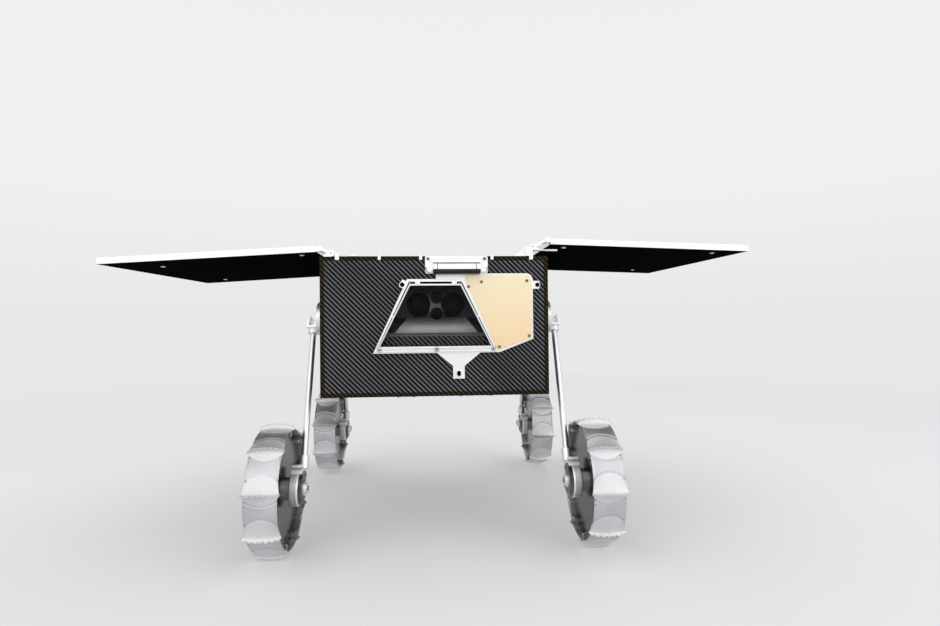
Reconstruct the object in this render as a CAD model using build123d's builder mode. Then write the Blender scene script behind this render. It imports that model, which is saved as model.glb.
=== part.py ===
"""Planetary rover on four swinging legs with sheet-metal petal wheels.

Axes: +Z up, the rover faces -Y, left and right are as seen from its front.
The origin is on the ground below the middle of the body. Lengths are in millimetres.
"""
import os
from math import acos, atan2, cos, degrees, radians, sin

from build123d import *

os.makedirs("parts", exist_ok=True)

# Body box, closed by flat sandwich panels
body_width = 370.0
body_length = 474.0
body_height = 227.0
panel_thickness = 8.0

# Legs: each swings about a shoulder on the body's side
leg_length = 287.0
leg_lean = 20.4
shoulder_spread = 280.0
shoulder_above_floor_panel = 127.5
shoulder_radius = 32.0
shoulder_flange = 8.0
shoulder_shaft_radius = 8.0
fork_radius = 29.0
fork_thickness = 11.0
fork_width = 28.0
fork_drop = 20.0
fork_shoulder_angle = 30.0
fork_web = 3.0
fork_pocket_bow = 4.0
leg_offset = 28.4
leg_tube_radius = 5.0
collar_radius = 8.5
collar_length = 8.0
socket_radius = 8.0
socket_length = 23.0
running_gap = 1.0
running_fit = 0.05

# Hub motors, carried by the legs
motor_radius = 27.5
motor_drum_length = 10.0
motor_groove = 1.2
motor_groove_depth = 5.0
motor_gear_radius = 23.5
motor_nose = [
    # radius, length
    (11.5, 3.0),
    (9.0, 3.5),
]
motor_inner_face = 26.0
saddle_plate = 4.4
saddle_gap = 3.0
saddle_half_width = 13.0
saddle_bow = 5.0
saddle_foot_angle = 45.0
axle_radius = 6.0

# Wheels: sheets whose ends bend out and meet back to back as fan-shaped petals
wheel_radius = 104.5
rim_radius = 92.0
rim_sheet = 1.2
tread_width = 48.0
petal_count = 9
petal_long_root = 19.5
petal_short_root = 9.5
petal_hollow = 0.38
petal_edge = 2.0
petal_corner_half = 28.5
petal_corner_radius = 93.5
petal_scallops = 7
petal_scallop_depth = 0.7
petal_arch_powers = (2.2, 0.7)
rim_lip = 4.0
wheel_offset = 67.1
web_inset = 10.0
web_sheet = 1.5
hub_radius = 18.0
hub_length = 44.0
hub_cap = 3.0
clip_size = (9.0, 6.0, 7.0)

# Solar wings, hinged above the body's top edges
wing_span = 343.5
wing_thickness = 11.5
wing_end_gap = 5.5
wing_side_gap = 8.3
left_wing_height = 9.2
right_wing_height = 21.4
left_wing_droop = 3.2
right_wing_droop = 2.0
fold_clearance = 5.5
cell_rows = 6
cell_columns = 4
cell_gap = 2.0
cell_border = 9.0
cell_thickness = 0.6

# Wing hinges: brackets stand on the end panels' top edges and carry the pins
hinge_pin_radius = 2.5
hinge_barrel_radius = 4.6
hinge_barrel_length = 20.0
hinge_strap = 7.0
hinge_arm = 5.0
boss_radius = 5.2
boss_hole_radius = 2.0
bracket_foot_x = 157.0
bracket_foot_width = 6.4
bracket_foot_drop = 6.0
bracket_plate = 3.0
left_boss = (166.0, 4.5)
right_boss = (159.8, 14.7)
left_post_width = 7.0
right_post_width = 12.0
stop_arm = 12.0
stop_arm_thickness = 2.4
brace_reach = 19.0
stop_rod_radius = 1.45
stop_rod_height = 10.0
stop_rod_end = 202.0

# Camera bay and the hardware on the front panel, heights taken below the body's top
frame_top_half = 43.5
frame_bottom_half = 98.5
frame_top_drop = 39.6
frame_bottom_drop = 154.7
frame_side = 6.3
frame_foot_side = 9.2
frame_end = 8.7
frame_depth = 8.0
frame_groove = 1.8
frame_groove_depth = 2.5
backing_thickness = 3.0
backing_rim = 2.3
backing_left = 1.0
backing_right = 159.2
backing_top_drop = 28.7
backing_corner = 11.0
backing_slant_drop = 135.8
backing_slant_x = 103.8
radiator_thickness = 1.5
radiator_margin = 2.0
radiator_left = 48.5
ear_hole_radius = 2.5
ear_size = 13.0
ear_inset = 3.25
left_ear = (-53.0, 46.9)
right_ear = (166.8, 47.6)
tab_centre = 37.0
tab_half_top = 35.5
tab_half_bottom = 9.4
tab_neck_drop = 178.3
tab_end_drop = 199.0
tab_hole_drop = 190.6
glass_thickness = 2.0
camera_pitch = 56.0
camera_drop = 79.0
camera_radius = 19.5
camera_hood_taper = 20.0
camera_setback = 30.0
sensor_radius = 12.5
sensor_offset = 2.0
sensor_top_drop = 68.0
sensor_bottom_drop = 86.0
sensor_forward = 3.0
bench_front_drop = 128.0
bench_clearance = 1.0
bench_thickness = 2.0
bay_depth = 75.0
bay_wall = 2.0
latch_centre = 34.6
latch_width = 101.8
latch_height = 28.4
latch_plate = 3.0
latch_roller_radius = 8.5
latch_roller_length = 76.0
latch_cheek = 11.0
latch_drop = 21.5
latch_bar_drop = 2.0
latch_bar_height = 9.5
latch_bar_depth = 9.0

# Small parts on the sides, belly and top edge
rest_height = 34.0
rest_depth = 12.0
rest_width = 8.0
rest_above_floor_panel = 22.0
rest_setback = 102.0
clip_positions = (-90.0, -23.4, 92.8)
clip_width = 5.0
clip_leg = 6.0
clip_sheet = 1.5
pad_centre = -131.5
pad_width = 19.0
pad_height = 2.2

# Bolt holes in the belly for a carrier or a stand
belly_bolt_width = 280.0
belly_bolt_length = 340.0
belly_bolt_radius = 2.75

# Battery and electronics inside the body
core_size = (230.0, 250.0, 120.0)

half_width = body_width / 2
half_length = body_length / 2
inner_half_length = half_length - panel_thickness
inner_half_width = half_width - panel_thickness
petal_step = 360 / petal_count
two_petal_height = wheel_radius * cos(radians(petal_step / 2))
shoulder_height = two_petal_height + leg_length * cos(radians(leg_lean))
body_bottom = shoulder_height - shoulder_above_floor_panel
body_top = body_bottom + body_height
front_face = -half_length
leg_x = half_width + leg_offset
wheel_x = half_width + wheel_offset
shoulder_y = shoulder_spread / 2

corners = [
    # name, side, end, angle of the wheel's first petal from forwards towards up
    ("front_left", -1, -1, 90.3),
    ("front_right", 1, -1, 82.4),
    ("rear_left", -1, 1, 95.2),
    ("rear_right", 1, 1, 70.1),
]


def save(part, name):
    """Label a finished piece and write it to its own file."""
    part.label = name
    export_step(part, f"parts/{name}.step")


def hub_height(petal_turn):
    """Height of a wheel's hub when the petal nearest to the ground stands on it."""
    past_plumb = (petal_turn + 90 + petal_step / 2) % petal_step - petal_step / 2
    return wheel_radius * cos(radians(past_plumb))


def lean_of(petal_turn):
    """How far a leg leans so that its wheel stands on the ground."""
    return degrees(acos((shoulder_height - hub_height(petal_turn)) / leg_length))


def mirrored(part, side, end=-1):
    """A piece drawn for the right front corner, taken to another corner."""
    if side < 0:
        part = part.mirror(Plane.YZ)
    if end > 0:
        part = part.mirror(Plane.XZ)
    return part


# Body panels
front_plane = Plane(origin=(0, front_face, body_top), x_dir=(1, 0, 0), z_dir=(0, -1, 0))


def trapezoid(top_half, bottom_half, top_drop, bottom_drop):
    """The camera bay's outline, drawn on the front plane below the body's top edge."""
    with BuildLine() as outline:
        Polyline(
            (-top_half, -top_drop),
            (top_half, -top_drop),
            (bottom_half, -bottom_drop),
            (-bottom_half, -bottom_drop),
            close=True,
        )
    return outline.line


window_top_half = frame_top_half - frame_side * frame_top_half / frame_bottom_half
window_bottom_half = frame_bottom_half - frame_foot_side
window_top_drop = frame_top_drop + frame_end
window_bottom_drop = frame_bottom_drop - frame_end
window = trapezoid(window_top_half, window_bottom_half, window_top_drop, window_bottom_drop)

with BuildPart() as front_panel:
    with BuildSketch(front_plane):
        with Locations((0, -body_height / 2)):
            Rectangle(body_width, body_height)
        add(make_face(window, mode=Mode.PRIVATE), mode=Mode.SUBTRACT)
    extrude(amount=-panel_thickness)
save(front_panel.part, "front_panel")

with BuildPart() as rear_panel:
    with BuildSketch(Plane.XZ.offset(-half_length)):
        with Locations((0, body_bottom + body_height / 2)):
            Rectangle(body_width, body_height)
    extrude(amount=panel_thickness)
save(rear_panel.part, "rear_panel")

with BuildPart() as side_panels:
    with BuildSketch(Plane.XY.offset(body_bottom)):
        with GridLocations(body_width - panel_thickness, 0, 2, 1):
            Rectangle(panel_thickness, 2 * inner_half_length)
    extrude(amount=body_height)
save(side_panels.part, "side_panels")

with BuildPart() as bottom_panel:
    with BuildSketch(Plane.XY.offset(body_bottom)):
        Rectangle(2 * inner_half_width, 2 * inner_half_length)
        with GridLocations(belly_bolt_width, belly_bolt_length, 2, 2):
            Circle(belly_bolt_radius, mode=Mode.SUBTRACT)
    extrude(amount=panel_thickness)
save(bottom_panel.part, "bottom_panel")

with BuildPart() as top_panel:
    with BuildSketch(Plane.XY.offset(body_top - panel_thickness)):
        Rectangle(2 * inner_half_width, 2 * inner_half_length)
    extrude(amount=panel_thickness)
save(top_panel.part, "top_panel")

core_y = (bay_depth + panel_thickness) / 2
with BuildPart() as core:
    with Locations((0, core_y, body_bottom + panel_thickness)):
        Box(*core_size, align=(Align.CENTER, Align.CENTER, Align.MIN))
save(core.part, "battery_and_electronics")

# Camera bay: backing plate, frame, glass, radiator plate and the cameras behind them
backing_front = front_plane.offset(backing_thickness)
with BuildPart() as backing_plate:
    with BuildSketch(front_plane):
        with BuildLine():
            Polyline(
                (backing_left, -backing_top_drop),
                (backing_left, -frame_top_drop + backing_rim),
                (-frame_top_half - backing_rim, -frame_top_drop + backing_rim),
                (-frame_bottom_half - backing_rim, -frame_bottom_drop - backing_rim),
                (tab_centre - tab_half_top, -frame_bottom_drop - backing_rim),
                (tab_centre - tab_half_bottom, -tab_neck_drop),
                (tab_centre - tab_half_bottom, -tab_end_drop),
                (tab_centre + tab_half_bottom, -tab_end_drop),
                (tab_centre + tab_half_bottom, -tab_neck_drop),
                (tab_centre + tab_half_top, -frame_bottom_drop - backing_rim),
                (backing_slant_x, -frame_bottom_drop - backing_rim),
                (backing_right, -backing_slant_drop),
                (backing_right, -backing_top_drop - backing_corner),
            )
            RadiusArc(
                (backing_right, -backing_top_drop - backing_corner),
                (backing_right - backing_corner, -backing_top_drop),
                -backing_corner,
            )
            Line((backing_right - backing_corner, -backing_top_drop), (backing_left, -backing_top_drop))
        make_face()
        with Locations((right_ear[0] - ear_inset, -right_ear[1])):
            Rectangle(ear_size, ear_size)
        with Locations((right_ear[0], -right_ear[1]), (tab_centre, -tab_hole_drop)):
            Circle(ear_hole_radius, mode=Mode.SUBTRACT)
        add(make_face(window, mode=Mode.PRIVATE), mode=Mode.SUBTRACT)
    extrude(amount=backing_thickness)
save(backing_plate.part, "backing_plate")

frame_slant = degrees(atan2(frame_bottom_drop - frame_top_drop, frame_bottom_half - frame_top_half))


def groove_line(outwards):
    """The line midway between the frame's edges, moved outwards by a small distance."""
    return trapezoid(
        (frame_top_half + window_top_half) / 2 + outwards,
        (frame_bottom_half + window_bottom_half) / 2 + outwards,
        (frame_top_drop + window_top_drop) / 2 - outwards,
        (frame_bottom_drop + window_bottom_drop) / 2 + outwards,
    )


with BuildPart() as window_frame:
    with BuildSketch(backing_front):
        add(make_face(trapezoid(frame_top_half, frame_bottom_half, frame_top_drop, frame_bottom_drop),
                      mode=Mode.PRIVATE))
        with Locations(Location((left_ear[0] + ear_inset, -left_ear[1]), frame_slant)):
            Rectangle(ear_size, ear_size)
        with Locations((left_ear[0], -left_ear[1])):
            Circle(ear_hole_radius, mode=Mode.SUBTRACT)
        add(make_face(window, mode=Mode.PRIVATE), mode=Mode.SUBTRACT)
    extrude(amount=frame_depth)
    with BuildSketch(backing_front.offset(frame_depth)):
        add(make_face(groove_line(frame_groove / 2), mode=Mode.PRIVATE))
        add(make_face(groove_line(-frame_groove / 2), mode=Mode.PRIVATE), mode=Mode.SUBTRACT)
    extrude(amount=-frame_groove_depth, mode=Mode.SUBTRACT)
save(window_frame.part, "window_frame")

with BuildPart() as window_glass:
    with BuildSketch(front_plane):
        make_face(window)
    extrude(amount=glass_thickness)
save(window_glass.part, "window_glass")


def frame_edge_x(drop):
    """Half the frame's outer width at a height below the body's top."""
    share = (drop - frame_top_drop) / (frame_bottom_drop - frame_top_drop)
    return frame_top_half + share * (frame_bottom_half - frame_top_half)


radiator_top = backing_top_drop + radiator_margin
radiator_right = backing_right - radiator_margin
radiator_low = backing_slant_drop - radiator_margin
radiator_foot = frame_bottom_drop - radiator_margin
with BuildPart() as radiator_plate:
    with BuildSketch(backing_front):
        with BuildLine():
            Polyline(
                (radiator_left, -radiator_top),
                (radiator_left, -frame_top_drop),
                (frame_edge_x(radiator_foot) + radiator_margin, -radiator_foot),
                (backing_slant_x, -radiator_foot),
                (radiator_right, -radiator_low),
                (radiator_right, -radiator_top - backing_corner),
            )
            RadiusArc(
                (radiator_right, -radiator_top - backing_corner),
                (radiator_right - backing_corner, -radiator_top),
                -backing_corner,
            )
            Line((radiator_right - backing_corner, -radiator_top), (radiator_left, -radiator_top))
        make_face()
    extrude(amount=radiator_thickness)
save(radiator_plate.part, "radiator_plate")

bay_half = window_bottom_half + bay_wall
bay_height = window_bottom_drop - window_top_drop + 2 * bay_wall
bay_centre_drop = (window_top_drop + window_bottom_drop) / 2
inside_face = front_plane.offset(-panel_thickness)
bench_back_drop = camera_drop + camera_radius + bench_clearance
bay_back = front_face + panel_thickness + bay_depth - bay_wall
with BuildPart() as camera_bay:
    with BuildSketch(inside_face):
        with Locations((0, -bay_centre_drop)):
            Rectangle(2 * (bay_half + bay_wall), bay_height + 2 * bay_wall)
    extrude(amount=-bay_depth)
    with BuildSketch(inside_face):
        with Locations((0, -bay_centre_drop)):
            Rectangle(2 * bay_half, bay_height)
    extrude(amount=bay_wall - bay_depth, mode=Mode.SUBTRACT)
    with BuildSketch(Plane.YZ.offset(-bay_half)):
        with BuildLine():
            Polyline(
                (front_face + panel_thickness, body_top - bench_front_drop),
                (bay_back, body_top - bench_back_drop),
                (bay_back, body_top - bench_back_drop - bench_thickness),
                (front_face + panel_thickness, body_top - bench_front_drop - bench_thickness),
                close=True,
            )
        make_face()
    extrude(amount=2 * bay_half)
save(camera_bay.part, "camera_bay")

camera_face = front_plane.offset(-camera_setback)
camera_length = panel_thickness + bay_depth - bay_wall - camera_setback
with BuildPart() as cameras:
    with BuildSketch(camera_face):
        with Locations((0, -camera_drop)):
            with GridLocations(camera_pitch, 0, 2, 1):
                Circle(camera_radius)
    extrude(amount=-camera_length)
    with BuildSketch(camera_face):
        with Locations((0, -camera_drop)):
            with GridLocations(camera_pitch, 0, 2, 1):
                Circle(camera_radius - bay_wall)
    extrude(amount=-camera_length / 2, taper=camera_hood_taper, mode=Mode.SUBTRACT)
    with BuildSketch(camera_face.offset(sensor_forward)):
        with Locations((sensor_offset, -(sensor_top_drop + sensor_bottom_drop) / 2)):
            SlotCenterToCenter(sensor_bottom_drop - sensor_top_drop, 2 * sensor_radius, rotation=90)
    extrude(amount=-camera_length - sensor_forward)
save(cameras.part, "cameras")

# Release latch on the front's top edge, with its roller
with BuildPart() as release_latch:
    with BuildSketch(front_plane):
        with Locations((latch_centre, -latch_height / 2)):
            RectangleRounded(latch_width, latch_height, latch_plate)
    extrude(amount=latch_plate)
    with BuildSketch(front_plane):
        with Locations((latch_centre, -latch_drop)):
            with GridLocations(latch_roller_length + latch_cheek, 0, 2, 1):
                Circle(latch_cheek / 2)
    extrude(amount=latch_plate + latch_roller_radius)
    with BuildSketch(front_plane.offset(latch_plate)):
        with Locations((latch_centre, -latch_bar_drop - latch_bar_height / 2)):
            Rectangle(latch_roller_length, latch_bar_height)
    extrude(amount=latch_bar_depth)
save(release_latch.part, "release_latch")

roller_axis_y = front_face - latch_plate - latch_roller_radius
with BuildPart() as release_roller:
    with BuildSketch(Plane(origin=(latch_centre - latch_roller_length / 2, roller_axis_y,
                                   body_top - latch_drop), z_dir=(1, 0, 0))):
        Circle(latch_roller_radius)
    extrude(amount=latch_roller_length)
save(release_roller.part, "release_roller")

with BuildPart() as edge_clips:
    with BuildSketch(Plane.YZ.offset(-clip_width / 2)):
        with BuildLine():
            Polyline(
                (front_face, body_top),
                (front_face + clip_leg, body_top),
                (front_face + clip_leg, body_top + clip_sheet),
                (front_face - clip_sheet, body_top + clip_sheet),
                (front_face - clip_sheet, body_top - clip_leg),
                (front_face, body_top - clip_leg),
                close=True,
            )
        make_face()
    clip = extrude(amount=clip_width, mode=Mode.PRIVATE)
    with Locations(*[(x, 0, 0) for x in clip_positions]):
        add(clip)
    with BuildSketch(front_plane):
        with BuildLine():
            pad_start = (pad_centre - pad_width / 2, 0)
            pad_finish = (pad_centre + pad_width / 2, 0)
            Line(pad_finish, pad_start)
            SagittaArc(pad_start, pad_finish, pad_height)
        make_face()
    extrude(amount=-clip_leg)
save(edge_clips.part, "edge_clips")

# Shoulder bearings and leg rests on the body's sides
rest_bottom = body_bottom + rest_above_floor_panel
shoulders = []
leg_rests = []
for name, side, end, petal_turn in corners:
    with BuildPart() as shoulder:
        with BuildSketch(Plane(origin=(half_width, -shoulder_y, shoulder_height), z_dir=(1, 0, 0))):
            Circle(shoulder_radius)
        extrude(amount=shoulder_flange)
        with BuildSketch(Plane(origin=(half_width, -shoulder_y, shoulder_height), z_dir=(1, 0, 0))):
            Circle(shoulder_shaft_radius)
        extrude(amount=shoulder_flange + fork_thickness)
    shoulders.append(mirrored(shoulder.part, side, end))
    with BuildPart() as leg_rest:
        with BuildSketch(Plane.XZ.offset(half_length - rest_setback)):
            with BuildLine():
                Polyline(
                    (half_width, rest_bottom),
                    (half_width + rest_depth, rest_bottom),
                    (half_width, rest_bottom + rest_height),
                    close=True,
                )
            make_face()
        extrude(amount=-rest_width)
    leg_rests.append(mirrored(leg_rest.part, side, end))
save(Compound(children=shoulders), "shoulder_bearings")
save(Compound(children=leg_rests), "leg_rests")

# Solar wings: panel, cells and hinges
left_folded_height = fold_clearance
right_folded_height = left_folded_height + wing_thickness + fold_clearance
wings = [
    # name, side, underside above the body, the same when folded, droop, boss, post width
    ("left", -1, left_wing_height, left_folded_height, left_wing_droop, left_boss, left_post_width),
    ("right", 1, right_wing_height, right_folded_height, right_wing_droop, right_boss, right_post_width),
]
hinge_x = half_width
wing_inner = hinge_x + wing_side_gap
wing_centre = wing_inner + wing_span / 2
wing_length = body_length - 2 * (panel_thickness + wing_end_gap)
barrel_start = front_face + panel_thickness + running_gap
cell_width = (wing_span - 2 * cell_border - (cell_columns - 1) * cell_gap) / cell_columns
cell_length = (wing_length - 2 * cell_border - (cell_rows - 1) * cell_gap) / cell_rows

for name, side, height, folded_height, droop, boss, post_width in wings:
    pin_height = (height + folded_height + wing_thickness) / 2
    pin_z = body_top + pin_height
    underside = body_top + height
    swing = Axis((side * hinge_x, 0, pin_z), (0, side, 0))

    with BuildPart() as panel:
        with Locations((wing_centre, 0, underside)):
            Box(wing_span, wing_length, wing_thickness - cell_thickness,
                align=(Align.CENTER, Align.CENTER, Align.MIN))
    save(mirrored(panel.part, side).rotate(swing, droop), f"wing_{name}_panel")

    with BuildPart() as cells:
        with Locations((wing_centre, 0, underside + wing_thickness - cell_thickness)):
            with GridLocations(cell_width + cell_gap, cell_length + cell_gap, cell_columns, cell_rows):
                Box(cell_width, cell_length, cell_thickness,
                    align=(Align.CENTER, Align.CENTER, Align.MIN))
    save(mirrored(cells.part, side).rotate(swing, droop), f"wing_{name}_cells")

    with BuildPart() as leaves:
        with BuildSketch(Plane.XZ.offset(-barrel_start)):
            with Locations((hinge_x, pin_z)):
                Circle(hinge_barrel_radius)
                Rectangle(wing_side_gap, hinge_strap, align=(Align.MIN, Align.CENTER))
                Circle(hinge_pin_radius + running_fit, mode=Mode.SUBTRACT)
        extrude(amount=-hinge_barrel_length)
        mirror(about=Plane.XZ)
    save(mirrored(leaves.part, side).rotate(swing, droop), f"wing_{name}_hinge_leaves")

    boss_x, boss_height = boss
    post_inner = bracket_foot_x + bracket_foot_width / 2 - post_width
    on_edge = Plane(origin=(0, front_face, body_top), x_dir=(1, 0, 0), z_dir=(0, -1, 0))
    arm_length = ((hinge_x - boss_x) ** 2 + (pin_height - boss_height) ** 2) ** 0.5
    arm_slope = degrees(atan2(pin_height - boss_height, hinge_x - boss_x))
    with BuildPart() as bracket:
        with BuildSketch(on_edge):
            with Locations((boss_x, boss_height)):
                Circle(boss_radius)
            with Locations(Location((boss_x, boss_height), arm_slope)):
                Rectangle(arm_length, hinge_arm, align=(Align.MIN, Align.CENTER))
            with Locations((hinge_x, pin_height)):
                Circle(hinge_barrel_radius)
            with Locations((post_inner, 0)):
                Rectangle(boss_x - post_inner, boss_height, align=Align.MIN)
            if boss_height > boss_radius:
                with BuildLine():
                    Polyline(
                        (post_inner - brace_reach, 0),
                        (post_inner, 0),
                        (post_inner, boss_height),
                        close=True,
                    )
                make_face()
            Rectangle(2 * half_width, boss_radius, align=(Align.CENTER, Align.MAX), mode=Mode.SUBTRACT)
        extrude(amount=-panel_thickness)
        with BuildSketch(on_edge):
            with Locations((boss_x, boss_height)):
                Circle(boss_radius)
            with Locations((post_inner, 0)):
                Rectangle(post_width, boss_height, align=Align.MIN)
            with Locations((bracket_foot_x, -bracket_foot_drop)):
                Rectangle(bracket_foot_width, bracket_foot_drop, align=(Align.CENTER, Align.MIN))
            with BuildLine():
                Polyline(
                    (boss_x, boss_height - boss_radius),
                    (boss_x + stop_arm, boss_height - boss_radius),
                    (boss_x + stop_arm, boss_height - boss_radius + stop_arm_thickness),
                    (boss_x + boss_radius, boss_height),
                    (boss_x, boss_height),
                    close=True,
                )
            make_face()
            with Locations((boss_x, boss_height)):
                Circle(boss_hole_radius, mode=Mode.SUBTRACT)
        extrude(amount=bracket_plate)
        with BuildSketch(on_edge):
            with Locations((hinge_x, pin_height)):
                Circle(hinge_pin_radius)
        extrude(amount=-(panel_thickness + running_gap + hinge_barrel_length))
        if boss_height > boss_radius:
            with BuildSketch(Plane.YZ.offset(boss_x)):
                with Locations((front_face + panel_thickness / 2, body_top + stop_rod_height)):
                    Circle(stop_rod_radius)
            extrude(amount=stop_rod_end - boss_x)
        mirror(about=Plane.XZ)
    save(mirrored(bracket.part, side), f"hinge_brackets_{name}")

# Legs, drawn hanging straight down from a shoulder at the right front corner
fork_face = half_width + shoulder_flange + running_gap
fork_outer = fork_face + fork_thickness
collar_outer = leg_x + collar_radius
pocket_top = fork_radius * cos(radians(fork_shoulder_angle)) - fork_web
pocket_bottom = fork_web - fork_drop
pocket_reach = collar_outer - fork_web
with BuildPart() as fork:
    with BuildSketch(Plane.YZ.offset(fork_face)):
        Circle(fork_radius)
    extrude(amount=fork_thickness)
    with BuildSketch(Plane.XZ.offset(-fork_width / 2)):
        with BuildLine():
            Polyline(
                (fork_face + running_gap, -fork_drop),
                (fork_face + running_gap, fork_radius * cos(radians(fork_shoulder_angle))),
                (fork_outer, fork_radius * cos(radians(fork_shoulder_angle))),
                (collar_outer, -fork_drop / 2),
                (collar_outer, -fork_drop),
                close=True,
            )
        make_face()
    extrude(amount=fork_width)
    with BuildSketch(Plane.XZ.offset(-fork_web / 2)):
        with BuildLine():
            Line((fork_outer, pocket_top), (fork_outer, pocket_bottom))
            Line((fork_outer, pocket_bottom), (pocket_reach, pocket_bottom))
            SagittaArc((pocket_reach, pocket_bottom), (fork_outer, pocket_top), -fork_pocket_bow)
        make_face()
    pocket = extrude(amount=-fork_width, mode=Mode.PRIVATE)
    add(pocket, mode=Mode.SUBTRACT)
    add(pocket.mirror(Plane.XZ), mode=Mode.SUBTRACT)
    with BuildSketch(Plane.XY.offset(-fork_drop)):
        with Locations((leg_x, 0)):
            Circle(collar_radius)
    extrude(amount=-collar_length)
    with BuildSketch(Plane.YZ.offset(fork_face)):
        Circle(shoulder_shaft_radius + running_fit)
    extrude(amount=fork_thickness - running_gap / 2, mode=Mode.SUBTRACT)

tube_top = -fork_drop - collar_length
socket_top = -leg_length + motor_radius + socket_length
with BuildPart() as tube:
    with BuildSketch(Plane.XY.offset(tube_top)):
        with Locations((leg_x, 0)):
            Circle(leg_tube_radius)
    extrude(amount=socket_top - tube_top)

motor_face = half_width + motor_inner_face
motor_length = wheel_x - hub_length / 2 - running_gap - motor_face
motor_end = motor_face + motor_length
saddle_bottom = motor_radius + saddle_gap - leg_length
saddle_foot = Vector(motor_radius, 0).rotate(Axis.Z, saddle_foot_angle)
with BuildPart() as foot:
    with BuildSketch(Plane.XY.offset(socket_top)):
        with Locations((leg_x, 0)):
            Circle(socket_radius)
    extrude(amount=saddle_bottom - socket_top)
    with BuildSketch(Plane.YZ.offset(motor_face)):
        with BuildLine():
            Polyline(
                (saddle_foot.X, saddle_foot.Y - leg_length),
                (0, -leg_length),
                (-saddle_foot.X, saddle_foot.Y - leg_length),
            )
            SagittaArc((-saddle_foot.X, saddle_foot.Y - leg_length),
                       (-saddle_half_width, saddle_bottom), saddle_bow / 2)
            Polyline(
                (-saddle_half_width, saddle_bottom),
                (-saddle_half_width, saddle_bottom + saddle_plate),
                (saddle_half_width, saddle_bottom + saddle_plate),
                (saddle_half_width, saddle_bottom),
            )
            SagittaArc((saddle_half_width, saddle_bottom),
                       (saddle_foot.X, saddle_foot.Y - leg_length), saddle_bow / 2)
        make_face()
        with Locations((0, -leg_length)):
            Circle(motor_radius, mode=Mode.SUBTRACT)
    extrude(amount=motor_length)

drum_end = motor_face + motor_drum_length
gear_start = drum_end + motor_groove
axle_end = wheel_x + hub_length / 2 - hub_cap
axle_plane = Plane(origin=(0, 0, -leg_length), x_dir=(1, 0, 0), z_dir=(0, -1, 0))
with BuildPart() as motor:
    with BuildSketch(axle_plane):
        with BuildLine():
            Polyline(
                (motor_face, 0),
                (motor_face, motor_radius),
                (drum_end, motor_radius),
                (drum_end, motor_radius - motor_groove_depth),
                (gear_start, motor_radius - motor_groove_depth),
                (gear_start, motor_gear_radius),
                (motor_end, motor_gear_radius),
                (motor_end, axle_radius),
                (axle_end, axle_radius),
                (axle_end, 0),
                close=True,
            )
        make_face()
    revolve(axis=Axis(axle_plane.origin, axle_plane.x_dir))
    nose_face = motor_face
    for nose_radius, nose_length in motor_nose:
        with BuildSketch(Plane.YZ.offset(nose_face)):
            with Locations((0, -leg_length)):
                Circle(nose_radius)
        extrude(amount=-nose_length)
        nose_face -= nose_length

leg_pieces = {"fork": fork, "tube": tube, "foot": foot, "motor": motor}
for name, side, end, petal_turn in corners:
    lean = Location((0, -shoulder_y, shoulder_height), (-lean_of(petal_turn), 0, 0))
    for piece_name, piece in leg_pieces.items():
        placed = piece.part.moved(lean)
        save(mirrored(placed, side, end), f"leg_{name}_{piece_name}")

# Wheels, drawn about the Z axis with the outboard side up and the first petal's edge on +X
tread_start = -tread_width / 2
petal_height = wheel_radius - rim_radius


def around(radius, angle):
    """A point in the wheel's plane at an angle from the first petal's edge."""
    return (radius * cos(radians(angle)), radius * sin(radians(angle)))


def scalloped_edge():
    """The petal's free edge across the wheel: a low arch with small waves, as arcs between notches."""
    notches = []
    inner_power, outer_power = petal_arch_powers
    for number in range(petal_scallops + 1):
        share = 2 * number / petal_scallops - 1
        arch = (1 - abs(share) ** inner_power) ** outer_power
        radius = petal_corner_radius + (wheel_radius - petal_scallop_depth - petal_corner_radius) * arch
        notches.append((petal_corner_half * share, radius))
    return notches


with BuildPart() as petal:
    with BuildSketch(Plane.XY.offset(-petal_corner_half)):
        with BuildLine():
            long_root = around(rim_radius, -petal_long_root)
            long_middle = around(rim_radius + petal_hollow * petal_height, -petal_long_root / 2)
            short_root = around(rim_radius, petal_short_root)
            short_middle = around(rim_radius + petal_hollow * petal_height, petal_short_root / 2)
            ThreePointArc(long_root, long_middle, (wheel_radius, -petal_edge / 2))
            Line((wheel_radius, -petal_edge / 2), (wheel_radius, petal_edge / 2))
            ThreePointArc((wheel_radius, petal_edge / 2), short_middle, short_root)
            Polyline(short_root, around(rim_radius - rim_lip, 0), long_root)
        make_face()
    extrude(amount=2 * petal_corner_half)
    with BuildSketch(Plane.XZ):
        with BuildLine():
            notches = scalloped_edge()
            for start, finish in zip(notches, notches[1:]):
                SagittaArc((start[1], start[0]), (finish[1], finish[0]), petal_scallop_depth)
            Polyline(
                (petal_corner_radius, petal_corner_half),
                (rim_radius - rim_lip, -tread_start),
                (rim_radius - rim_lip, tread_start),
                (petal_corner_radius, -petal_corner_half),
            )
        make_face()
    extrude(amount=wheel_radius / 2, both=True, mode=Mode.INTERSECT)

with BuildPart() as rim:
    with PolarLocations(0, petal_count):
        add(petal.part)
    Cylinder(rim_radius - rim_sheet, 2 * petal_corner_half, mode=Mode.SUBTRACT)
    with BuildSketch(Plane.XZ):
        with BuildLine():
            Polyline(
                (rim_radius - rim_lip, tread_start),
                (rim_radius, tread_start),
                (rim_radius, -tread_start),
                (rim_radius - rim_lip, -tread_start),
                (rim_radius - rim_lip, -tread_start - rim_sheet),
                (rim_radius - rim_sheet, -tread_start - rim_sheet),
                (rim_radius - rim_sheet, tread_start + rim_sheet),
                (rim_radius - rim_lip, tread_start + rim_sheet),
                close=True,
            )
        make_face()
    revolve(axis=Axis.Z)

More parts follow.
